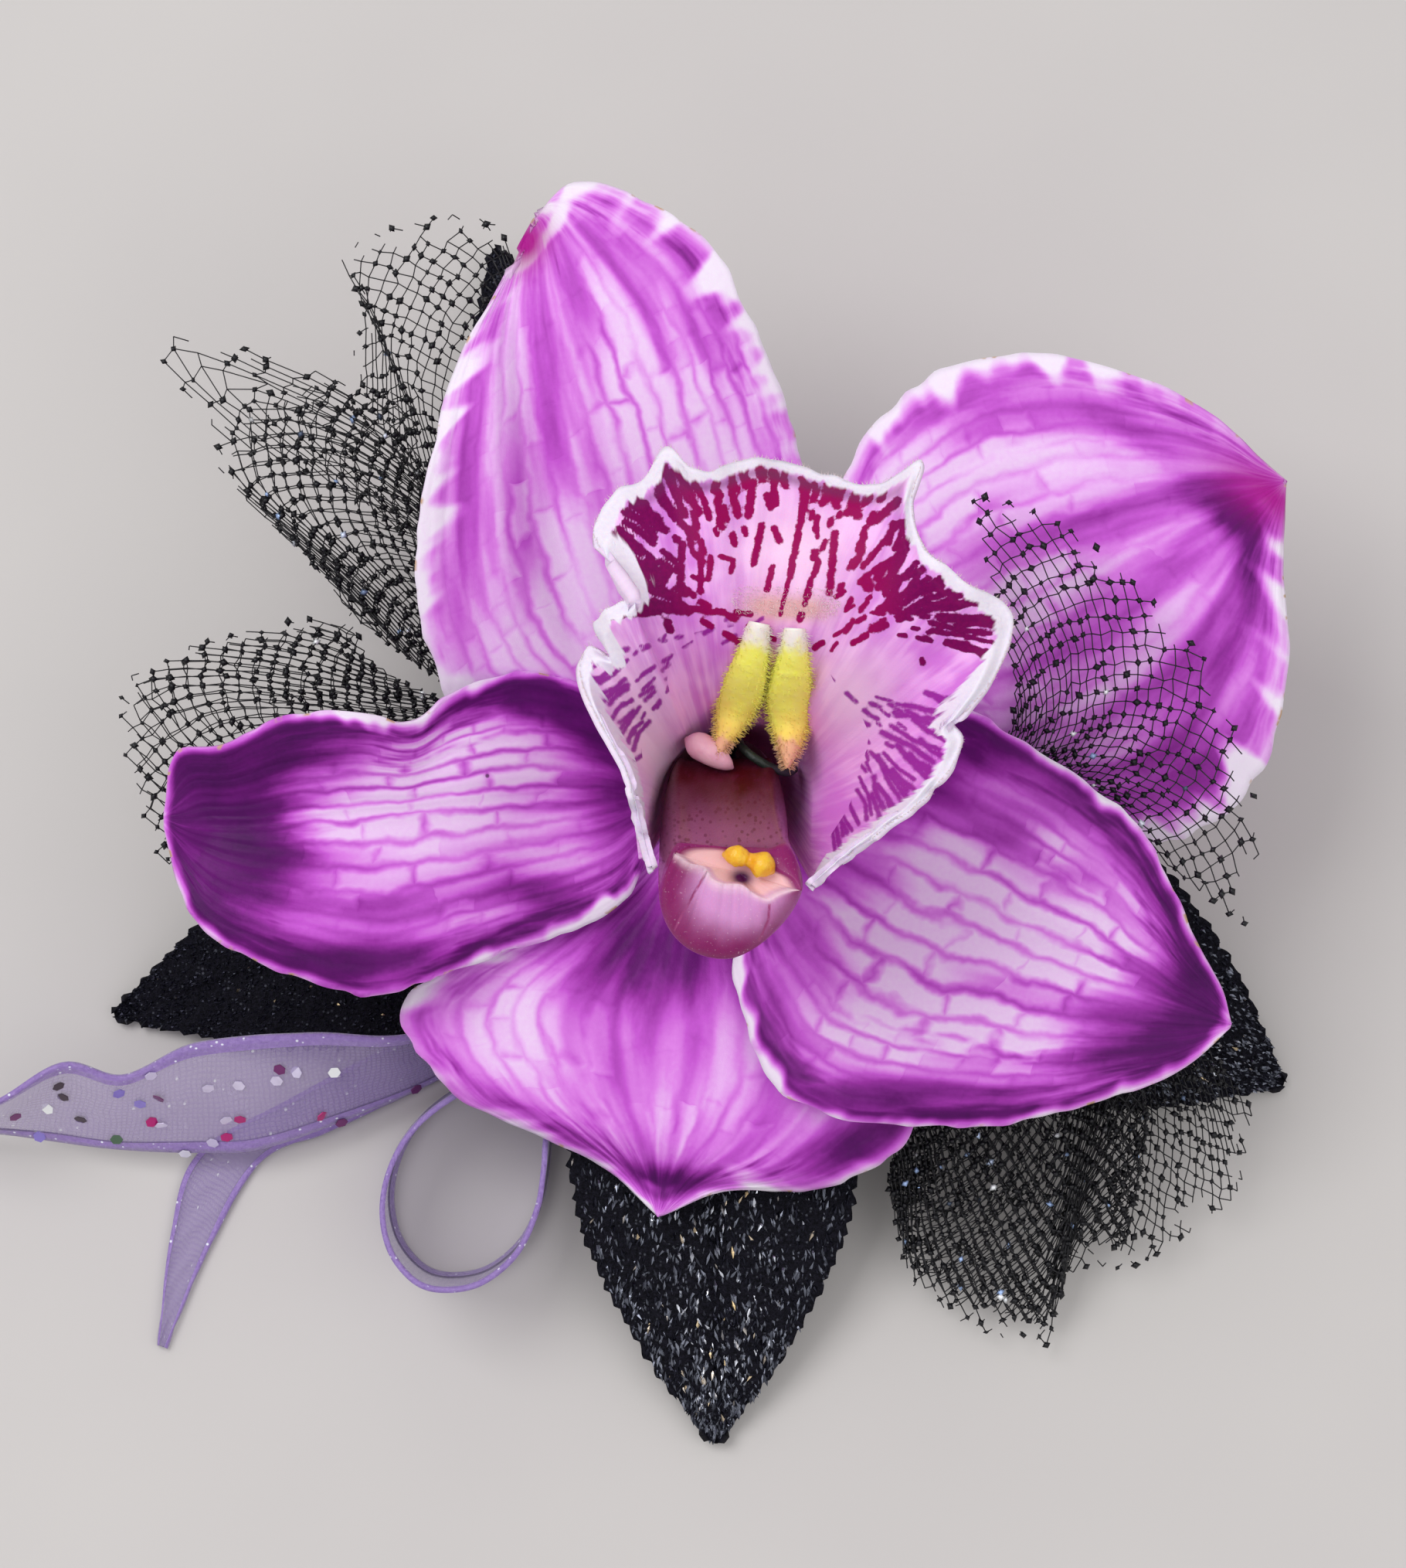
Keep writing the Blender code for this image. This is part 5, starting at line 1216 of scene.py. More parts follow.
def make_stem():
    """The stem, wound with a spiral of crinkled floral tape, with the pedicel's socket."""
    head, start_radius = stem_axis(STEM_HEAD_Y)
    tail, end_radius = stem_axis(STEM_END_Y)
    along, side = unit(tail - head), np.array([1.0, 0.0, 0.0])
    angles = circle(STEM_SIDES)
    spoke = spokes(angles, side, np.cross(along, side))
    bore = PEDICEL_RADIUS + GAP
    rings = [head + along * (SOCKET_DEPTH * share) + bore * spoke for share in (1.0, 0.5, 0.0)]
    rng = np.random.default_rng(31)
    crinkle = softened(rng.standard_normal((STEM_STATIONS, STEM_SIDES)), 1) * 0.03
    for i, share in enumerate(np.linspace(0.0, 1.0, STEM_STATIONS)):
        radius = start_radius + (end_radius - start_radius) * share
        lap = (share * TAPE_TURNS + angles / (2 * math.pi)) % 1.0
        reach = radius * (1.0 - 0.045 * (1 - lap)) + crinkle[i]
        round_off = 1 - 0.25 * step(share, 0.985, 1.0) - 0.08 * step(1 - share, 0.985, 1.0)
        rings.append(head + (tail - head) * share + (reach * round_off)[:, None] * spoke)
    s = Surface("stem_tape", Roughness=0.72)
    fibre = s.noise(s.stretch(s.place(), (1.0, 5.0, 5.0)), 1.2, 4.0, 0.65)
    tape = s.coat(s.mix(fibre, (0.006, 0.012, 0.008), (0.035, 0.055, 0.035)),
                  s.bump(fibre, 0.6, 0.2))
    piece("stem_tape", ring_solid(rings), [tape], "stem_tape")


WIRE_PAPER = make_flower_wire()
make_ovary()
make_stem()


# ---------------------------------------------------------------- glitter leaves

LEAVES = dict(
    front=dict(base=(0.8, -10.5, -13.8), tip=(0.9, -49.5), width=22.2, arch=0.6,
               end=[(0.5, -9.2, -16.4), (0.4, -8.4, -18.4)], silver=0.36, grain=2.4, full=(1, 1)),
    left=dict(base=(-7.0, -6.0, -18.4), tip=(-44.2, -17.3), width=17.0, arch=1.4,
              end=[(-5.2, -7.4, -21.2), (-3.75, -10.0, -22.2)], silver=0.10, grain=1.2, full=(1, 1)),
    right=dict(base=(7.5, -6.5, -18.2), tip=(43.6, -22.5), width=20.0, arch=1.4,
               end=[(5.4, -7.6, -21.2), (3.75, -10.0, -22.2)], silver=0.30, grain=1.6,
               full=(1, 1.32)),
    back=dict(base=(-3.2, 4.6, -20.6), tip=(-15.7, 40.2), width=18.0, arch=1.4,
              end=[(-2.9, 1.5, -22.4), (-2.6, -6.5, -23.0)], silver=0.10, grain=1.2, full=(1, 1)))
WIRED_SHARE = 0.42
LEAF_ROWS, LEAF_COLUMNS = 190, 41
MIDRIB = LEAF_COLUMNS // 2
CLOTH_THICKNESS = 0.55
TOOTH_PITCH, TOOTH_DEPTH = 1.2, 0.42
VEIN_PITCH, VEIN_LEAN = 4.2, 5.0
VEIN_HEIGHT, MIDRIB_GROOVE, CRUMPLE = 0.10, 0.30, 0.04
GRAINS_PER_LEAF = 3300
GRAIN_SIZES = (0.08, 0.24)


def leaf_points(leaf, along, across, tooth=0.0):
    """As-seen points of a leaf's upper face; along runs base to tip, across from -1 to 1."""
    base = np.array(leaf["base"])
    tip = np.array([*leaf["tip"], floor_depth(leaf["tip"][1] * 1.07) + LEAF_THICKNESS + REST])
    run = tip[:2] - base[:2]
    side = np.array([-run[1], run[0]]) / np.linalg.norm(run)
    swell = np.sin(math.pi * along)
    half = np.maximum(np.sin(math.pi * along ** 0.82) ** 0.84, 0.02) * 0.5 * leaf["width"]
    half = half * np.where(across < 0, *leaf["full"])
    half = half - np.minimum(tooth, 0.3 * half) * np.abs(across) ** 4
    spot = base[:2] + run * along[..., None] + side * (half * across)[..., None]
    z = base[2] + (tip[2] - base[2]) * along + (leaf["arch"] + 0.7 * np.abs(across)) * swell
    return np.concatenate([spot, z[..., None]], -1)


def leaf_cloth():
    s = Surface("leaf_cloth", Specular_IOR_Level=0.12)
    seen = s.uv("seen")
    pile = s.noise(seen, 3.5, 3.0, 0.7)
    shine = s.spots(seen, 3.2, (0.42, 0.15), (0.72, 0.92))
    colour = s.mix(s.soft(pile, 0.3, 0.8), (0.002, 0.002, 0.004), (0.016, 0.015, 0.026))
    colour = s.mix(s.times(shine, 0.5), colour, (0.16, 0.17, 0.21))
    relief = s.bump(s.plus(pile, s.noise(seen, 9.0, 2.0)), 0.9, 0.3)
    return s.coat(colour, relief, s.line(shine, -0.4, 0.75))


def glitter(name, silver):
    """Metal-bright crystals, mostly black, some grey, white, blue or gold by their tone."""
    s = Surface(name, Metallic=0.85)
    tone, hue = s.field("tone"), s.field("hue")
    colour = s.mix(s.soft(tone, 1 - 2.2 * silver, 1 - 1.1 * silver), (0.010, 0.010, 0.018),
                   (0.15, 0.16, 0.20))
    colour = s.mix(s.soft(tone, 1 - 0.55 * silver, 1 - 0.30 * silver), colour, (0.70, 0.72, 0.80))
    tint = s.mix(s.soft(hue, 0.4, 0.6), (0.30, 0.42, 0.95), (0.95, 0.72, 0.40))
    tinted = s.times(s.soft(hue, 0.80, 0.95), s.soft(tone, 0.7, 0.9))
    return s.coat(s.mix(tinted, colour, tint), rough=s.line(hue, 0.25, 0.18))


def make_glitter(name, leaf, grid, rng, seed):
    """The crystals strewn over a leaf, most of them along its run and near its midrib."""
    count = GRAINS_PER_LEAF
    t, u = rng.uniform(0.02, 0.99, count), rng.uniform(-0.97, 0.97, count)
    spots = lookup(grid, t, (u + 1) / 2)
    lean = unit(lookup(grid_normals(grid), t, (u + 1) / 2))
    sizes = rng.uniform(*GRAIN_SIZES, count)
    run = unit(grid[-1, MIDRIB] - grid[0, MIDRIB])
    solid = crystals(spots + lean * 0.03, lean, sizes, rng, run, leaf["grain"])
    patch = 0.72 + 0.22 * np.exp(-(u / 0.6) ** 2) + 0.10 * waves(seed + 2, 9, t)
    fields = dict(tone=np.repeat(np.clip(rng.random(count) * patch, 0, 1), 6),
                  hue=np.repeat(rng.random(count), 6))
    return piece("leaf_" + name + "_glitter", solid, [glitter("glitter_" + name, leaf["silver"])],
                 "leaf_" + name, fields=fields, flat=True)


def make_leaf(name, leaf, cloth, seed):
    """A leaf of pressed cloth, with toothed edges, veins and glitter."""
    rng = np.random.default_rng(seed)
    along = np.linspace(0.0, 1.0, LEAF_ROWS)[:, None]
    across = np.linspace(-1.0, 1.0, LEAF_COLUMNS)[None, :]
    length = math.hypot(leaf["tip"][0] - leaf["base"][0], leaf["tip"][1] - leaf["base"][1])
    beat = along * length / TOOTH_PITCH + 0.35 * np.sign(across) + 0.3 * waves(seed, 9, along)
    tooth = TOOTH_DEPTH * (1 - (beat % 1.0)) + 0.15 * waves(seed + 1, 60, along)
    seen = leaf_points(leaf, along + 0 * across, across + 0 * along, tooth)
    veins = np.sin((along * length - np.abs(across) * VEIN_LEAN) * 2 * math.pi / VEIN_PITCH)
    relief = VEIN_HEIGHT * step(veins, 0.4, 1.0) * np.sin(math.pi * np.abs(across))
    relief = relief - MIDRIB_GROOVE * np.exp(-(across / 0.05) ** 2) * step(1 - along, 0.02, 0.2)
    relief = relief + CRUMPLE * softened(rng.standard_normal(seen.shape[:2]), 1)
    grid = placed(seen)
    made = sheet_piece("leaf_" + name, grid, CLOTH_THICKNESS, cloth,
                       dict(seen=seen[..., :2] / 100), {}, relief)
    sparkle = make_glitter(name, leaf, grid, rng, seed)


def make_leaf_wire(name, leaf):
    """The wire under a leaf's midrib, which runs back to the head of the stem."""
    below = [0.0, 0.0, LEAF_THICKNESS + LEAF_WIRE_RADIUS + GAP]
    shares = np.array([WIRED_SHARE, 0.28, 0.15, 0.02])
    under = placed(leaf_points(leaf, shares, 0 * shares)) - below
    path = smooth(np.vstack([under, placed(leaf["end"])]), 60)
    piece("leaf_wire_" + name, tube(path, np.full(60, LEAF_WIRE_SHOWN)), [WIRE_PAPER],
          "leaf_wire_" + name)


LEAF_CLOTH = leaf_cloth()
for number, (leaf_name, leaf_shape) in enumerate(LEAVES.items()):
    make_leaf_wire(leaf_name, leaf_shape)
    make_leaf(leaf_name, leaf_shape, LEAF_CLOTH, 60 + 3 * number)


# ---------------------------------------------------------------- net
# Each tuft springs from a short gather beside the ovary and fans out to its rim. cells counts
# its meshes across and along; layers is how many thicknesses of net lie on each other.

NET_TUFTS = dict(
    net_top=dict(gather=[(-0.3, 2.95), (-1.7, 2.4)], waist=[(-12, 24), (-21, 22)],
                 rim=[(-14.2, 39.5), (-16.3, 42.6), (-21.7, 42.3), (-27.1, 39.8), (-25.3, 36.6),
                      (-26.4, 31.7)],
                 depths=(-14.6, -12.0, -11.0), cells=(15, 34), layers=1, pleats=3),
    net_spike=dict(gather=[(-2.0, 2.0), (-2.7, 1.2)], waist=[(-22, 24), (-24, 20)],
                   rim=[(-28.9, 31.5), (-40.7, 33.4), (-36.2, 26)],
                   depths=(-16.2, -15.0, -14.0), cells=(7, 21), layers=1, pleats=1),
    net_left=dict(gather=[(-2.3, 1.8), (-2.9, 0.8)], waist=[(-19, 20), (-20, 8)],
                  rim=[(-22, 29.5), (-30.8, 30.1), (-36.6, 25), (-33.4, 20.6), (-25.6, 13.3)],
                  depths=(-14.6, -13.4, -12.6), cells=(18, 27), layers=2, pleats=4),
    net_lower_left=dict(gather=[(-2.95, -0.6), (-2.5, -1.7)], waist=[(-23, 8), (-24, -4)],
                        rim=[(-26.4, 12.8), (-34, 11.5), (-42.7, 8.4), (-43.4, 2),
                             (-40.7, -6.2)],
                        depths=(-15.2, -14.8, -13.6), cells=(20, 27), layers=2, pleats=4),
    net_right=dict(gather=[(9.0, -1.6), (9.0, 1.0)], waist=[(27.5, -2.0), (22.8, 3.6)],
                   rim=[(40.7, -10.6), (41.8, -3.6), (40.1, 3.2), (37.9, 9), (31.2, 16.2),
                        (25.9, 20), (20.2, 21.8)],
                   depths=(-9.1, -6.1, -2.2), cells=(22, 23), layers=1, pleats=5),
    net_lower_right=dict(gather=[(1.0, -2.8), (2.1, -2.1)], waist=[(13, -22), (31, -19)],
                         rim=[(13.8, -31), (15.5, -37.8), (21.2, -41.3), (26, -42.1),
                              (27.7, -36.8), (31.7, -36.6)],
                         depths=(-14.6, -13.0, -15.0), cells=(24, 36), layers=4, pleats=5),
    net_light=dict(gather=[(2.5, -1.7), (2.9, -0.6)], waist=[(26, -20), (34, -17)],
                   rim=[(31.7, -36.6), (37.9, -32.9), (40.4, -29.8), (41.4, -24.4)],
                   depths=(-14.6, -14.2, -15.6), cells=(17, 36), layers=1, pleats=2))
THREAD_RADIUS = 0.055
KNOT_SIZE = 0.36
KNOTTED_SHARE, FRAYED_SHARE = 0.55, 0.45
PLEAT_HEIGHT, LAYER_GAP, NET_SINK = 0.45, 0.35, 0.25
TUFT_ROWS, TUFT_COLUMNS = 60, 48


def tuft_grid(tuft):
    """Placed points of a tuft: rows from the gather to the rim, columns across it."""
    lines = [smooth(tuft[key], TUFT_COLUMNS) for key in ("gather", "waist", "rim")]
    columns = [smooth([(*point, depth) for point, depth in zip(points, tuft["depths"])], TUFT_ROWS)
               for points in zip(*lines)]
    return placed(np.stack(columns, 1))


def net_layer(tuft, grid, layer, rng):
    """Threads and knots of one thickness of net."""
    across, along = tuft["cells"]
    rows = 2 * along
    i, j = np.meshgrid(np.arange(rows + 1), np.arange(across + 1), indexing="ij")
    s = (j + 0.5 * (i % 2)) / (across + 0.5)
    t = i / rows
    s = s + rng.normal(0, 0.10, s.shape) / across
    t = t + rng.normal(0, 0.10, t.shape) / rows
    if layer:
        s, t = s + 0.37 * layer / across, t * (1 - 0.02 * layer)
    inside = (s >= -0.01) & (s <= 1.01) & (t <= 1.01) & (t > 0)
    inside &= ~((t > 0.965) & (rng.random(t.shape) < FRAYED_SHARE))
    lean = unit(lookup(grid_normals(grid), t, s))
    sweep = np.sin(2 * math.pi * (tuft["pleats"] * s + 0.31 * layer))
    level = LAYER_GAP * (layer - 0.5 * (tuft["layers"] - 1))
    lift = PLEAT_HEIGHT * sweep * step(t, 0.1, 0.6) + level - NET_SINK
    spots = lookup(grid, t, s) + lean * (lift + rng.normal(0, 0.07, s.shape))[..., None]
    starts, ends = [], []
    for shift in (0, 1):
        right = np.where(i[:-1] % 2 == 1, j[:-1] + shift, j[:-1] - 1 + shift)
        fits = (right >= 0) & (right <= across)
        right = np.clip(right, 0, across)
        a, b = spots[:-1], spots[1:][i[:-1], right]
        keep_a, keep_b = inside[:-1], inside[1:][i[:-1], right]
        whole = fits & keep_a & keep_b
        starts.append(a[whole])
        ends.append(b[whole])
        loose = fits & (keep_a ^ keep_b) & (t[:-1] > 0.3) & (rng.random(a.shape[:2]) < 0.7)
        root, tip = np.where(keep_a[..., None], a, b), np.where(keep_a[..., None], b, a)
        starts.append(root[loose])
        ends.append((root + (tip - root) * rng.uniform(0.3, 0.7, (*loose.shape, 1)))[loose])
    starts, ends = np.concatenate(starts), np.concatenate(ends)
    far = np.linalg.norm(ends - starts, axis=1) > 0.05
    knots = inside & (t > 0.25) & (rng.random(t.shape) < KNOTTED_SHARE)
    return starts[far], ends[far], spots[knots], lean[knots]


def knot_black():
    """Black knots, a few of them glinting white or blue."""
    s = Surface("net_knot", Roughness=0.35, Metallic=0.3)
    tint = s.mix(s.soft(s.field("hue"), 0.3, 0.5), (0.95, 0.97, 1.0), (0.45, 0.62, 1.0))
    return s.coat(s.mix(s.soft(s.field("tone"), 0.972, 0.985), (0.006, 0.006, 0.009), tint))


def make_net(name, tuft, yarn, knot, seed):
    """One tuft: all its layers of threads and knots."""
    rng = np.random.default_rng(seed)
    grid = tuft_grid(tuft)
    made = [net_layer(tuft, grid, layer, rng) for layer in range(tuft["layers"])]
    starts, ends, spots, lean = (np.concatenate(parts) for parts in zip(*made))
    threads = rods(starts, ends, THREAD_RADIUS)
    dots = crystals(spots, lean, rng.uniform(0.7, 1.25, len(spots)) * KNOT_SIZE, rng)
    plain = np.zeros(len(threads[0]))
    fields = {label: np.concatenate([plain, np.repeat(rng.random(len(spots)), 6)])
              for label in ("tone", "hue")}
    which = np.repeat([0, 1], [sum(map(len, threads[1])), sum(map(len, dots[1]))])
    made = piece(name, joined(threads, dots), [yarn, knot], name, fields=fields,
                 face_surface=which)


NET_YARN = mottled("net_yarn", (1.5, 2.0), (0.004, 0.004, 0.006), (0.022, 0.021, 0.026),
                   Roughness=0.55)
NET_KNOT = knot_black()
for number, (tuft_name, tuft_shape) in enumerate(NET_TUFTS.items()):
    make_net(tuft_name, tuft_shape, NET_YARN, NET_KNOT, 80 + number)


# ---------------------------------------------------------------- ribbon

RIBBON_WIDTH = 10.0
RIBBON_THICKNESS = 0.5
TIE_START_Y, TIE_END_Y = -12.5, -19.5
KNOT_CENTRE = (-7.25, -17.0, -20.85)
KNOT_RADII = (3.0, 3.4, 3.0)
LOOP = [(-9.9, -17.6, -16.6), (-15.6, -21.2, -13.2), (-19.8, -23.8, -12.4), (-22.1, -26.1, -11.6),
        (-23.5, -28.9, -10.4), (-23.9, -31.9, -10), (-23.2, -34.8, -9), (-21.3, -37, -8),
        (-19, -37.6, -8), (-16.2, -37, -8), (-13.6, -34.8, -9), (-12.1, -31.6, -10.4),
        (-11.6, -28.6, -11.8), (-11.4, -26, -12.6), (-10.7, -23.0, -15.0), (-8.4, -19.2, -15.6)]
LONG_TAIL_UPPER = [(-9.8, -13.2, -16.8), (-16, -16.4, -13.6), (-22.2, -19.1, -12.2),
                   (-30, -18.9, -11.6), (-38.2, -19.7, -11.8), (-43.5, -22.1, -13.2),
                   (-48, -21.2, -12.6), (-52.8, -24, -11.8), (-57.0, -25.2, -11.6)]
LONG_TAIL_LOWER = [(-9.9, -15.9, -21.4), (-16, -19.4, -20.0), (-20.2, -22.4, -19.2),
                   (-27.5, -25.5, -18.6), (-33.1, -27.4, -18.4), (-37.3, -27.7, -18.6),
                   (-44.4, -27.4, -19.0), (-52.8, -26.3, -19.6), (-59.0, -26.0, -20.0)]
SHORT_TAIL_LEFT = [(-7.8, -13.8), (-21.0, -18.5), (-31.0, -23.6), (-38.0, -27.8), (-40.0, -34.0),
                   (-40.9, -42.1)]
SHORT_TAIL_RIGHT = [(-8.2, -16.4), (-20.0, -22.2), (-28.0, -26.0), (-33.1, -28.2),
                    (-37.0, -34.6), (-40.4, -42.3)]
# Sequins seen on the tails: place and colour. The silver colour stands for a glint on those sequins:
# painted reflection.
SEQUINS = [(-48.5, -22.7, "slate"), (-48.1, -23.3, "slate"), (-46.6, -25.2, "slate"),
           (-49.2, -24.3, "silver"), (-44.0, -26.6, "moss"), (-41.4, -25.4, "cerise"),
           (-40.6, -25.5, "pearl"), (-40.9, -23.7, "plum"), (-43.8, -23.1, "lilac"),
           (-42.3, -23.9, "lilac"), (-38.9, -27.5, "silver"), (-34.8, -25.3, "cerise"),
           (-35.8, -26.5, "cerise"), (-36.7, -26.9, "pearl"), (-35.9, -25.2, "pearl"),
           (-37.3, -22.6, "pearl"), (-34.7, -22.7, "pearl"), (-31.7, -21.5, "plum"),
           (-30.5, -21.5, "pearl"), (-32.1, -22.2, "pearl"), (-28.8, -24.8, "cerise"),
           (-27.2, -25.3, "plum"), (-21.6, -22.9, "plum"), (-41.4, -21.8, "pearl"),
           (-27.7, -21.7, "silver"), (-49.9, -26.3, "lilac"), (-51.6, -25.0, "plum")]
SHADES = dict(slate=(0.05, 0.03, 0.05), silver=(0.95, 0.97, 1.0), moss=(0.08, 0.14, 0.09),
              cerise=(0.45, 0.02, 0.17), pearl=(0.62, 0.56, 0.74), plum=(0.16, 0.03, 0.14),
              lilac=(0.26, 0.20, 0.58))
TIE_ROWS, TIE_COLUMNS = 80, 16
KNOT_RINGS, KNOT_SIDES = 44, 66
LOOP_ROWS, LOOP_COLUMNS = 180, 17
TAIL_ROWS, TAIL_COLUMNS = 200, 21
CORD_COLUMNS = 2
CORD_THICKNESS, SHEER_THICKNESS = 0.42, 0.16
WEAVE_PITCH = 0.42
SEQUIN_RADIUS, SEQUIN_HALF, SEQUIN_LIFT = 0.52, 0.03, 0.10
TIE_FOLD_ROOM = 0.25
LOOP_BELLY, TAIL_BELLY = 0.28, 0.5


def organza(name, alpha):
    """Sheer woven ribbon; its two faces let the ground show through."""
    s = Surface(name, Roughness=0.38, Alpha=alpha, Sheen_Weight=0.3)
    weave = s.uv("weave", (1000.0, 1000.0, 1.0))
    bent = s.shift(weave, s.stretch(s.noise(weave, 0.25, 2.0, colour=True), (1.5, 1.5, 0.0)))
    warp, weft = (s.calc("SINE", s.times(way, 2 * math.pi / WEAVE_PITCH))
                  for way in s.split(bent)[:2])
    thread = s.soft(s.calc("MAXIMUM", warp, weft), 0.2, 1.0)
    colour = s.mix(thread, (0.42, 0.33, 0.58), (0.30, 0.20, 0.50))
    colour = s.mix(s.times(s.noise(weave, 0.3, 2.0), 0.4), colour, (0.50, 0.40, 0.70))
    glint = s.spots(weave, 1.6, (0.26, 0.14), (0.88, 0.95), channel=1)
    return s.coat(s.mix(glint, colour, (0.88, 0.88, 0.98)), s.bump(thread, 0.4, 0.06))


def selvage():
    """The ribbon's corded edge: denser, darker, with painted silvery glints."""
    s = Surface("selvage", Roughness=0.4, Sheen_Weight=0.4)
    place = s.place()
    cord = s.noise(place, 2.6, 3.0, 0.7)
    colour = s.mix(cord, (0.16, 0.075, 0.34), (0.40, 0.27, 0.62))
    glint = s.spots(place, 2.4, (0.35, 0.15), (0.80, 0.92))
    return s.coat(s.mix(glint, colour, (0.85, 0.86, 0.98)), s.bump(cord, 0.8, 0.2))


SHEER, DENSE, CORDED = organza("organza", 0.40), organza("organza_dense", 0.92), selvage()


def corded(count, edge):
    """Which of a number of columns lie within edge columns of either side."""
    columns = np.arange(count)
    return np.minimum(columns, columns[::-1]) < edge


def ribbon_sheet(name, grid, surface, closed=False):
    """A length of ribbon, sheer between two thicker corded edges, and its length in mm."""
    rows, columns = grid.shape[:2]
    thick = np.where(corded(columns, CORD_COLUMNS), CORD_THICKNESS, SHEER_THICKNESS)
    solid = sheet_solid(grid, thick[None, :], closed)
    front = np.tile(corded(columns - 1, CORD_COLUMNS), rows if closed else rows - 1).astype(int)
    which = np.concatenate([front, front, np.ones(sum(map(len, solid[1][2:])), int)])
    steps = np.linalg.norm(np.diff(grid, axis=0), axis=2).mean(1)
    along = np.concatenate([[0], np.cumsum(steps)])
    across = np.linspace(0, RIBBON_WIDTH, columns)
    weave = np.stack(np.broadcast_arrays(across[None, :], along[:, None]), -1) * MM
    made = piece(name, solid, [surface, CORDED], name, dict(weave=both(weave)),
                 face_surface=which)
    return made, along[-1]


def on_floor(points):
    """Edge points laid just above the surface."""
    return [(x, y, floor_depth(y * 1.065) + RIBBON_THICKNESS + REST) for x, y in points]


def strip_grid(first, second):
    """A grid of points between two edges."""
    first, second = smooth(first, TAIL_ROWS), smooth(second, TAIL_ROWS)
    share = np.linspace(0, 1, TAIL_COLUMNS)[None, :, None]
    return first[:, None] + (second - first)[:, None] * share


def make_sequins(seen, grid):
    """Hexagonal sequins glued to the long tail, one piece of each colour."""
    rng = np.random.default_rng(17)
    normals = grid_normals(grid)
    groups = {}
    for x, y, shade in SEQUINS:
        far = np.hypot(seen[..., 0] - x, seen[..., 1] - y)
        at = np.unravel_index(np.argmin(far), far.shape)
        up = unit(normals[at] + rng.normal(0, 0.18, 3))
        centre = grid[at] + up * SEQUIN_LIFT
        side = unit(np.cross(up, [1.0, 0.3, 0.1]))
        angles = circle(6) + rng.uniform(0, 1)
        ring = centre + SEQUIN_RADIUS * spokes(angles, side, np.cross(up, side))
        sequin = ring_solid([ring - up * SEQUIN_HALF, ring + up * SEQUIN_HALF])
        groups.setdefault(shade, []).append(sequin)
    made = []
    for shade, sequins in groups.items():
        lighter = tuple(min(1.0, 1.35 * value) for value in SHADES[shade])
        skin = mottled("sequin_" + shade, (1.5, 2.0), SHADES[shade], lighter, Roughness=0.22,
                       Metallic=0.5)
        made.append(piece("sequins_" + shade, joined(*sequins), [skin], "ribbon_tail_long",
                          flat=True))
    return made


def make_tie():
    """The ribbon's turn round the stem, gathered into folds."""
    angles = circle(TIE_ROWS)
    outward = np.stack([np.cos(angles), 0 * angles, np.sin(angles)], 1)
    grid = np.zeros((TIE_ROWS, TIE_COLUMNS, 3))
    for j, y in enumerate(np.linspace(TIE_START_Y, TIE_END_Y, TIE_COLUMNS)):
        centre, radius = stem_axis(y)
        fold = 0.16 * np.sin(j * 1.7 + 1.3 * np.sin(2 * angles)) + 0.05 * np.sin(5 * angles + j)
        reach = radius + GAP + TIE_THICKNESS - TIE_FOLD_ROOM + fold
        grid[:, j] = centre + reach[:, None] * outward
    tie, long = ribbon_sheet("ribbon_tie", grid, DENSE, closed=True)


def make_knot():
    """The folded knot beside the stem."""
    polar = np.linspace(0.02, math.pi - 0.02, KNOT_RINGS)[:, None]
    turn = circle(KNOT_SIDES)[None, :]
    swell = 0.95 + 0.07 * np.sin(7 * polar + 2.2 * np.sin(turn)) + 0.03 * np.sin(6 * turn + 4 * polar)
    ball = np.stack([np.sin(polar) * np.cos(turn), np.sin(polar) * np.sin(turn),
                     -np.cos(polar) + 0 * turn], -1) * swell[..., None]
    around, along = np.meshgrid(0.02 * np.arange(KNOT_SIDES) / KNOT_SIDES,
                                np.linspace(0, 0.01, KNOT_RINGS))
    return piece("ribbon_knot", ring_solid(KNOT_CENTRE + KNOT_RADII * ball), [DENSE],
                 "ribbon_knot", dict(weave=np.stack([around, along], -1).reshape(-1, 2)))


def make_loop(knot):
    """The loop, which stands on its edge."""
    line = smooth(LOOP, LOOP_ROWS)
    low = floor_depth(line[:, 1] * 1.05) + 2 * REST
    high = np.minimum(low + RIBBON_WIDTH, line[:, 2])
    share = np.linspace(0, 1, LOOP_COLUMNS)[None, :]
    nearer = 1.0 - 0.5 * (low + high) / SIGHT
    inward = unit(np.gradient(line[:, :2], axis=0))[:, ::-1] * [1, -1]
    wave = waves(71, 7, np.linspace(0, 1, LOOP_ROWS))[:, None]
    belly = LOOP_BELLY * np.sin(math.pi * share) * wave
    grid = np.zeros((LOOP_ROWS, LOOP_COLUMNS, 3))
    grid[..., :2] = (line[:, :2] * nearer[:, None])[:, None] + inward[:, None] * belly[..., None]
    grid[..., 2] = low[:, None] + (high - low)[:, None] * share
    loop, long = ribbon_sheet("ribbon_loop", grid, SHEER)


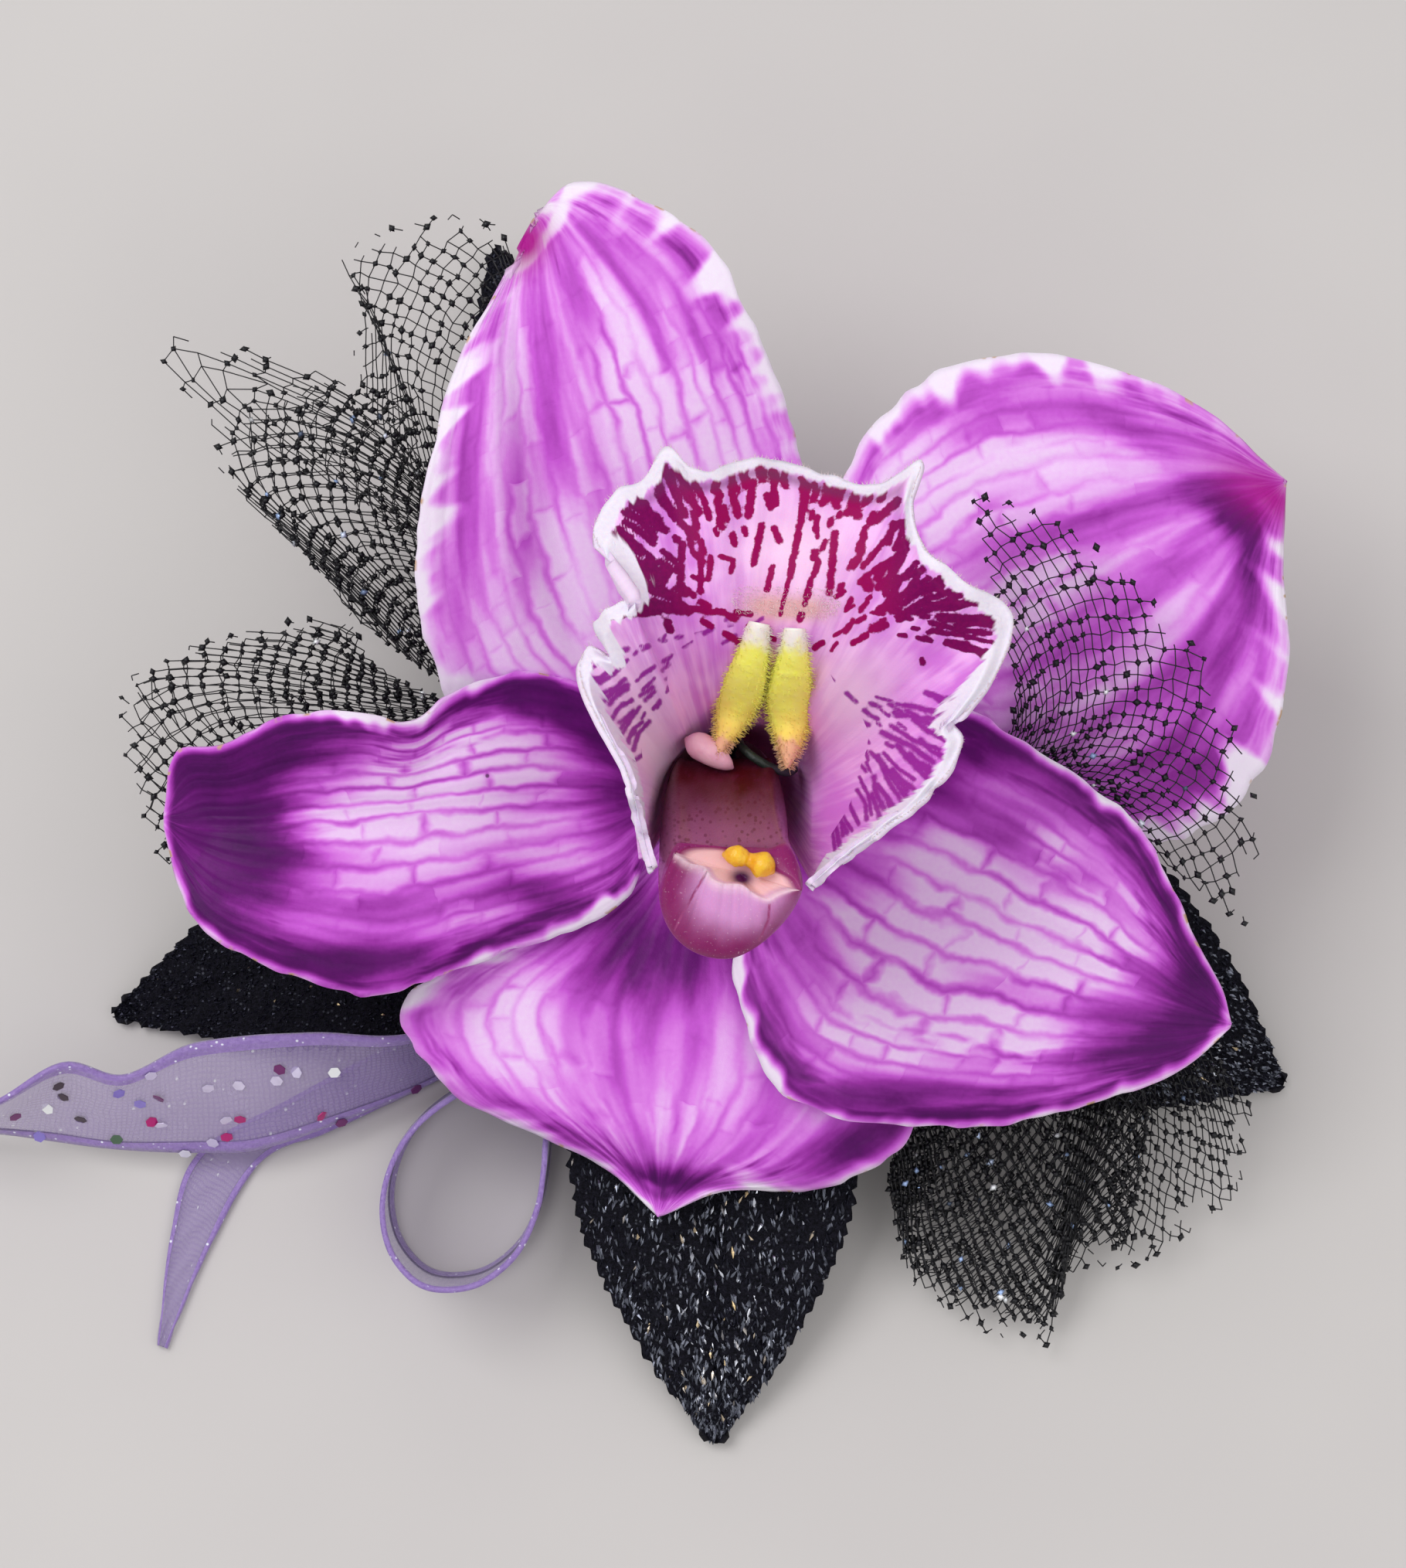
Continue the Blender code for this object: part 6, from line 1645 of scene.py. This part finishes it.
def make_tails():
    """The long tail with its sequins, and the short one that lies on the surface."""
    share = np.linspace(0, 1, TAIL_COLUMNS)[None, :]
    place = np.linspace(0, 1, TAIL_ROWS)[:, None]
    belly = np.sin(math.pi * share)
    seen = strip_grid(LONG_TAIL_UPPER, LONG_TAIL_LOWER)
    seen[..., 2] += belly * (TAIL_BELLY * waves(72, 9, place)
                              + 0.16 * np.sin(place * 60 + 5 * share))
    grid = placed(seen)
    tail, long = ribbon_sheet("ribbon_tail_long", grid, SHEER)
    make_sequins(seen, grid)

    seen = strip_grid(on_floor(SHORT_TAIL_LEFT), on_floor(SHORT_TAIL_RIGHT))
    seen[..., 2] -= 0.12 * belly * np.abs(np.sin(place * 40 + 6 * share))
    short, long = ribbon_sheet("ribbon_tail_short", placed(seen), SHEER)


make_tie()
make_loop(make_knot())
make_tails()


# ---------------------------------------------------------------- stage, light and camera

FLOOR_HALF = 1.5
SKY_STRENGTH = 0.62
LAMPS = dict(key_light=((-0.28, 0.10, 0.55), 0.35, 1.75),
             fill_light=((0.35, -0.20, 0.50), 0.5, 0.75))
SENSOR_WIDTH = 36.0


def add(name, data):
    """A new object in the scene."""
    made = bpy.data.objects.new(name, data)
    bpy.context.scene.collection.objects.link(made)
    return made


def make_floor():
    """A plain pale surface, only for the picture."""
    mesh = bpy.data.meshes.new("floor")
    corners = [(x * FLOOR_HALF, y * FLOOR_HALF, 0) for x, y in ((-1, -1), (1, -1), (1, 1), (-1, 1))]
    mesh.from_pydata(corners, [], [(0, 1, 2, 3)])
    mesh.materials.append(mottled("floor_cloth", (0.03, 2.0), (0.56, 0.535, 0.53),
                                  (0.62, 0.595, 0.58), Roughness=0.9))
    floor = add("floor", mesh)


def light_scene():
    """Soft white sky and two lamps that aim at the object."""
    world = bpy.data.worlds.new("soft_sky")
    bpy.context.scene.world = world
    world.use_nodes = True
    sky = world.node_tree.nodes["Background"].inputs
    sky["Color"].default_value = (1.0, 1.0, 1.0, 1.0)
    sky["Strength"].default_value = SKY_STRENGTH
    for name, (place, size, power) in LAMPS.items():
        lamp = bpy.data.lights.new(name, "AREA")
        lamp.size = size
        lamp.energy = power
        made = add(name, lamp)
        made.location = place
        made.rotation_euler = (-made.location.normalized()).to_track_quat("-Z", "Y").to_euler()


def place_camera():
    """The camera at the sight point, which looks straight at the flower's face."""
    camera = bpy.data.cameras.new("camera")
    camera.sensor_fit = "HORIZONTAL"
    camera.sensor_width = SENSOR_WIDTH
    camera.lens = SENSOR_WIDTH * SIGHT / VIEW_WIDTH
    eye = add("camera", camera)
    eye.location = to_row((0.0, 0.0, SIGHT))
    eye.rotation_euler = (TILT, 0.0, 0.0)
    bpy.context.scene.camera = eye


make_floor()
light_scene()
place_camera()
bpy.context.scene.view_settings.view_transform = "Standard"
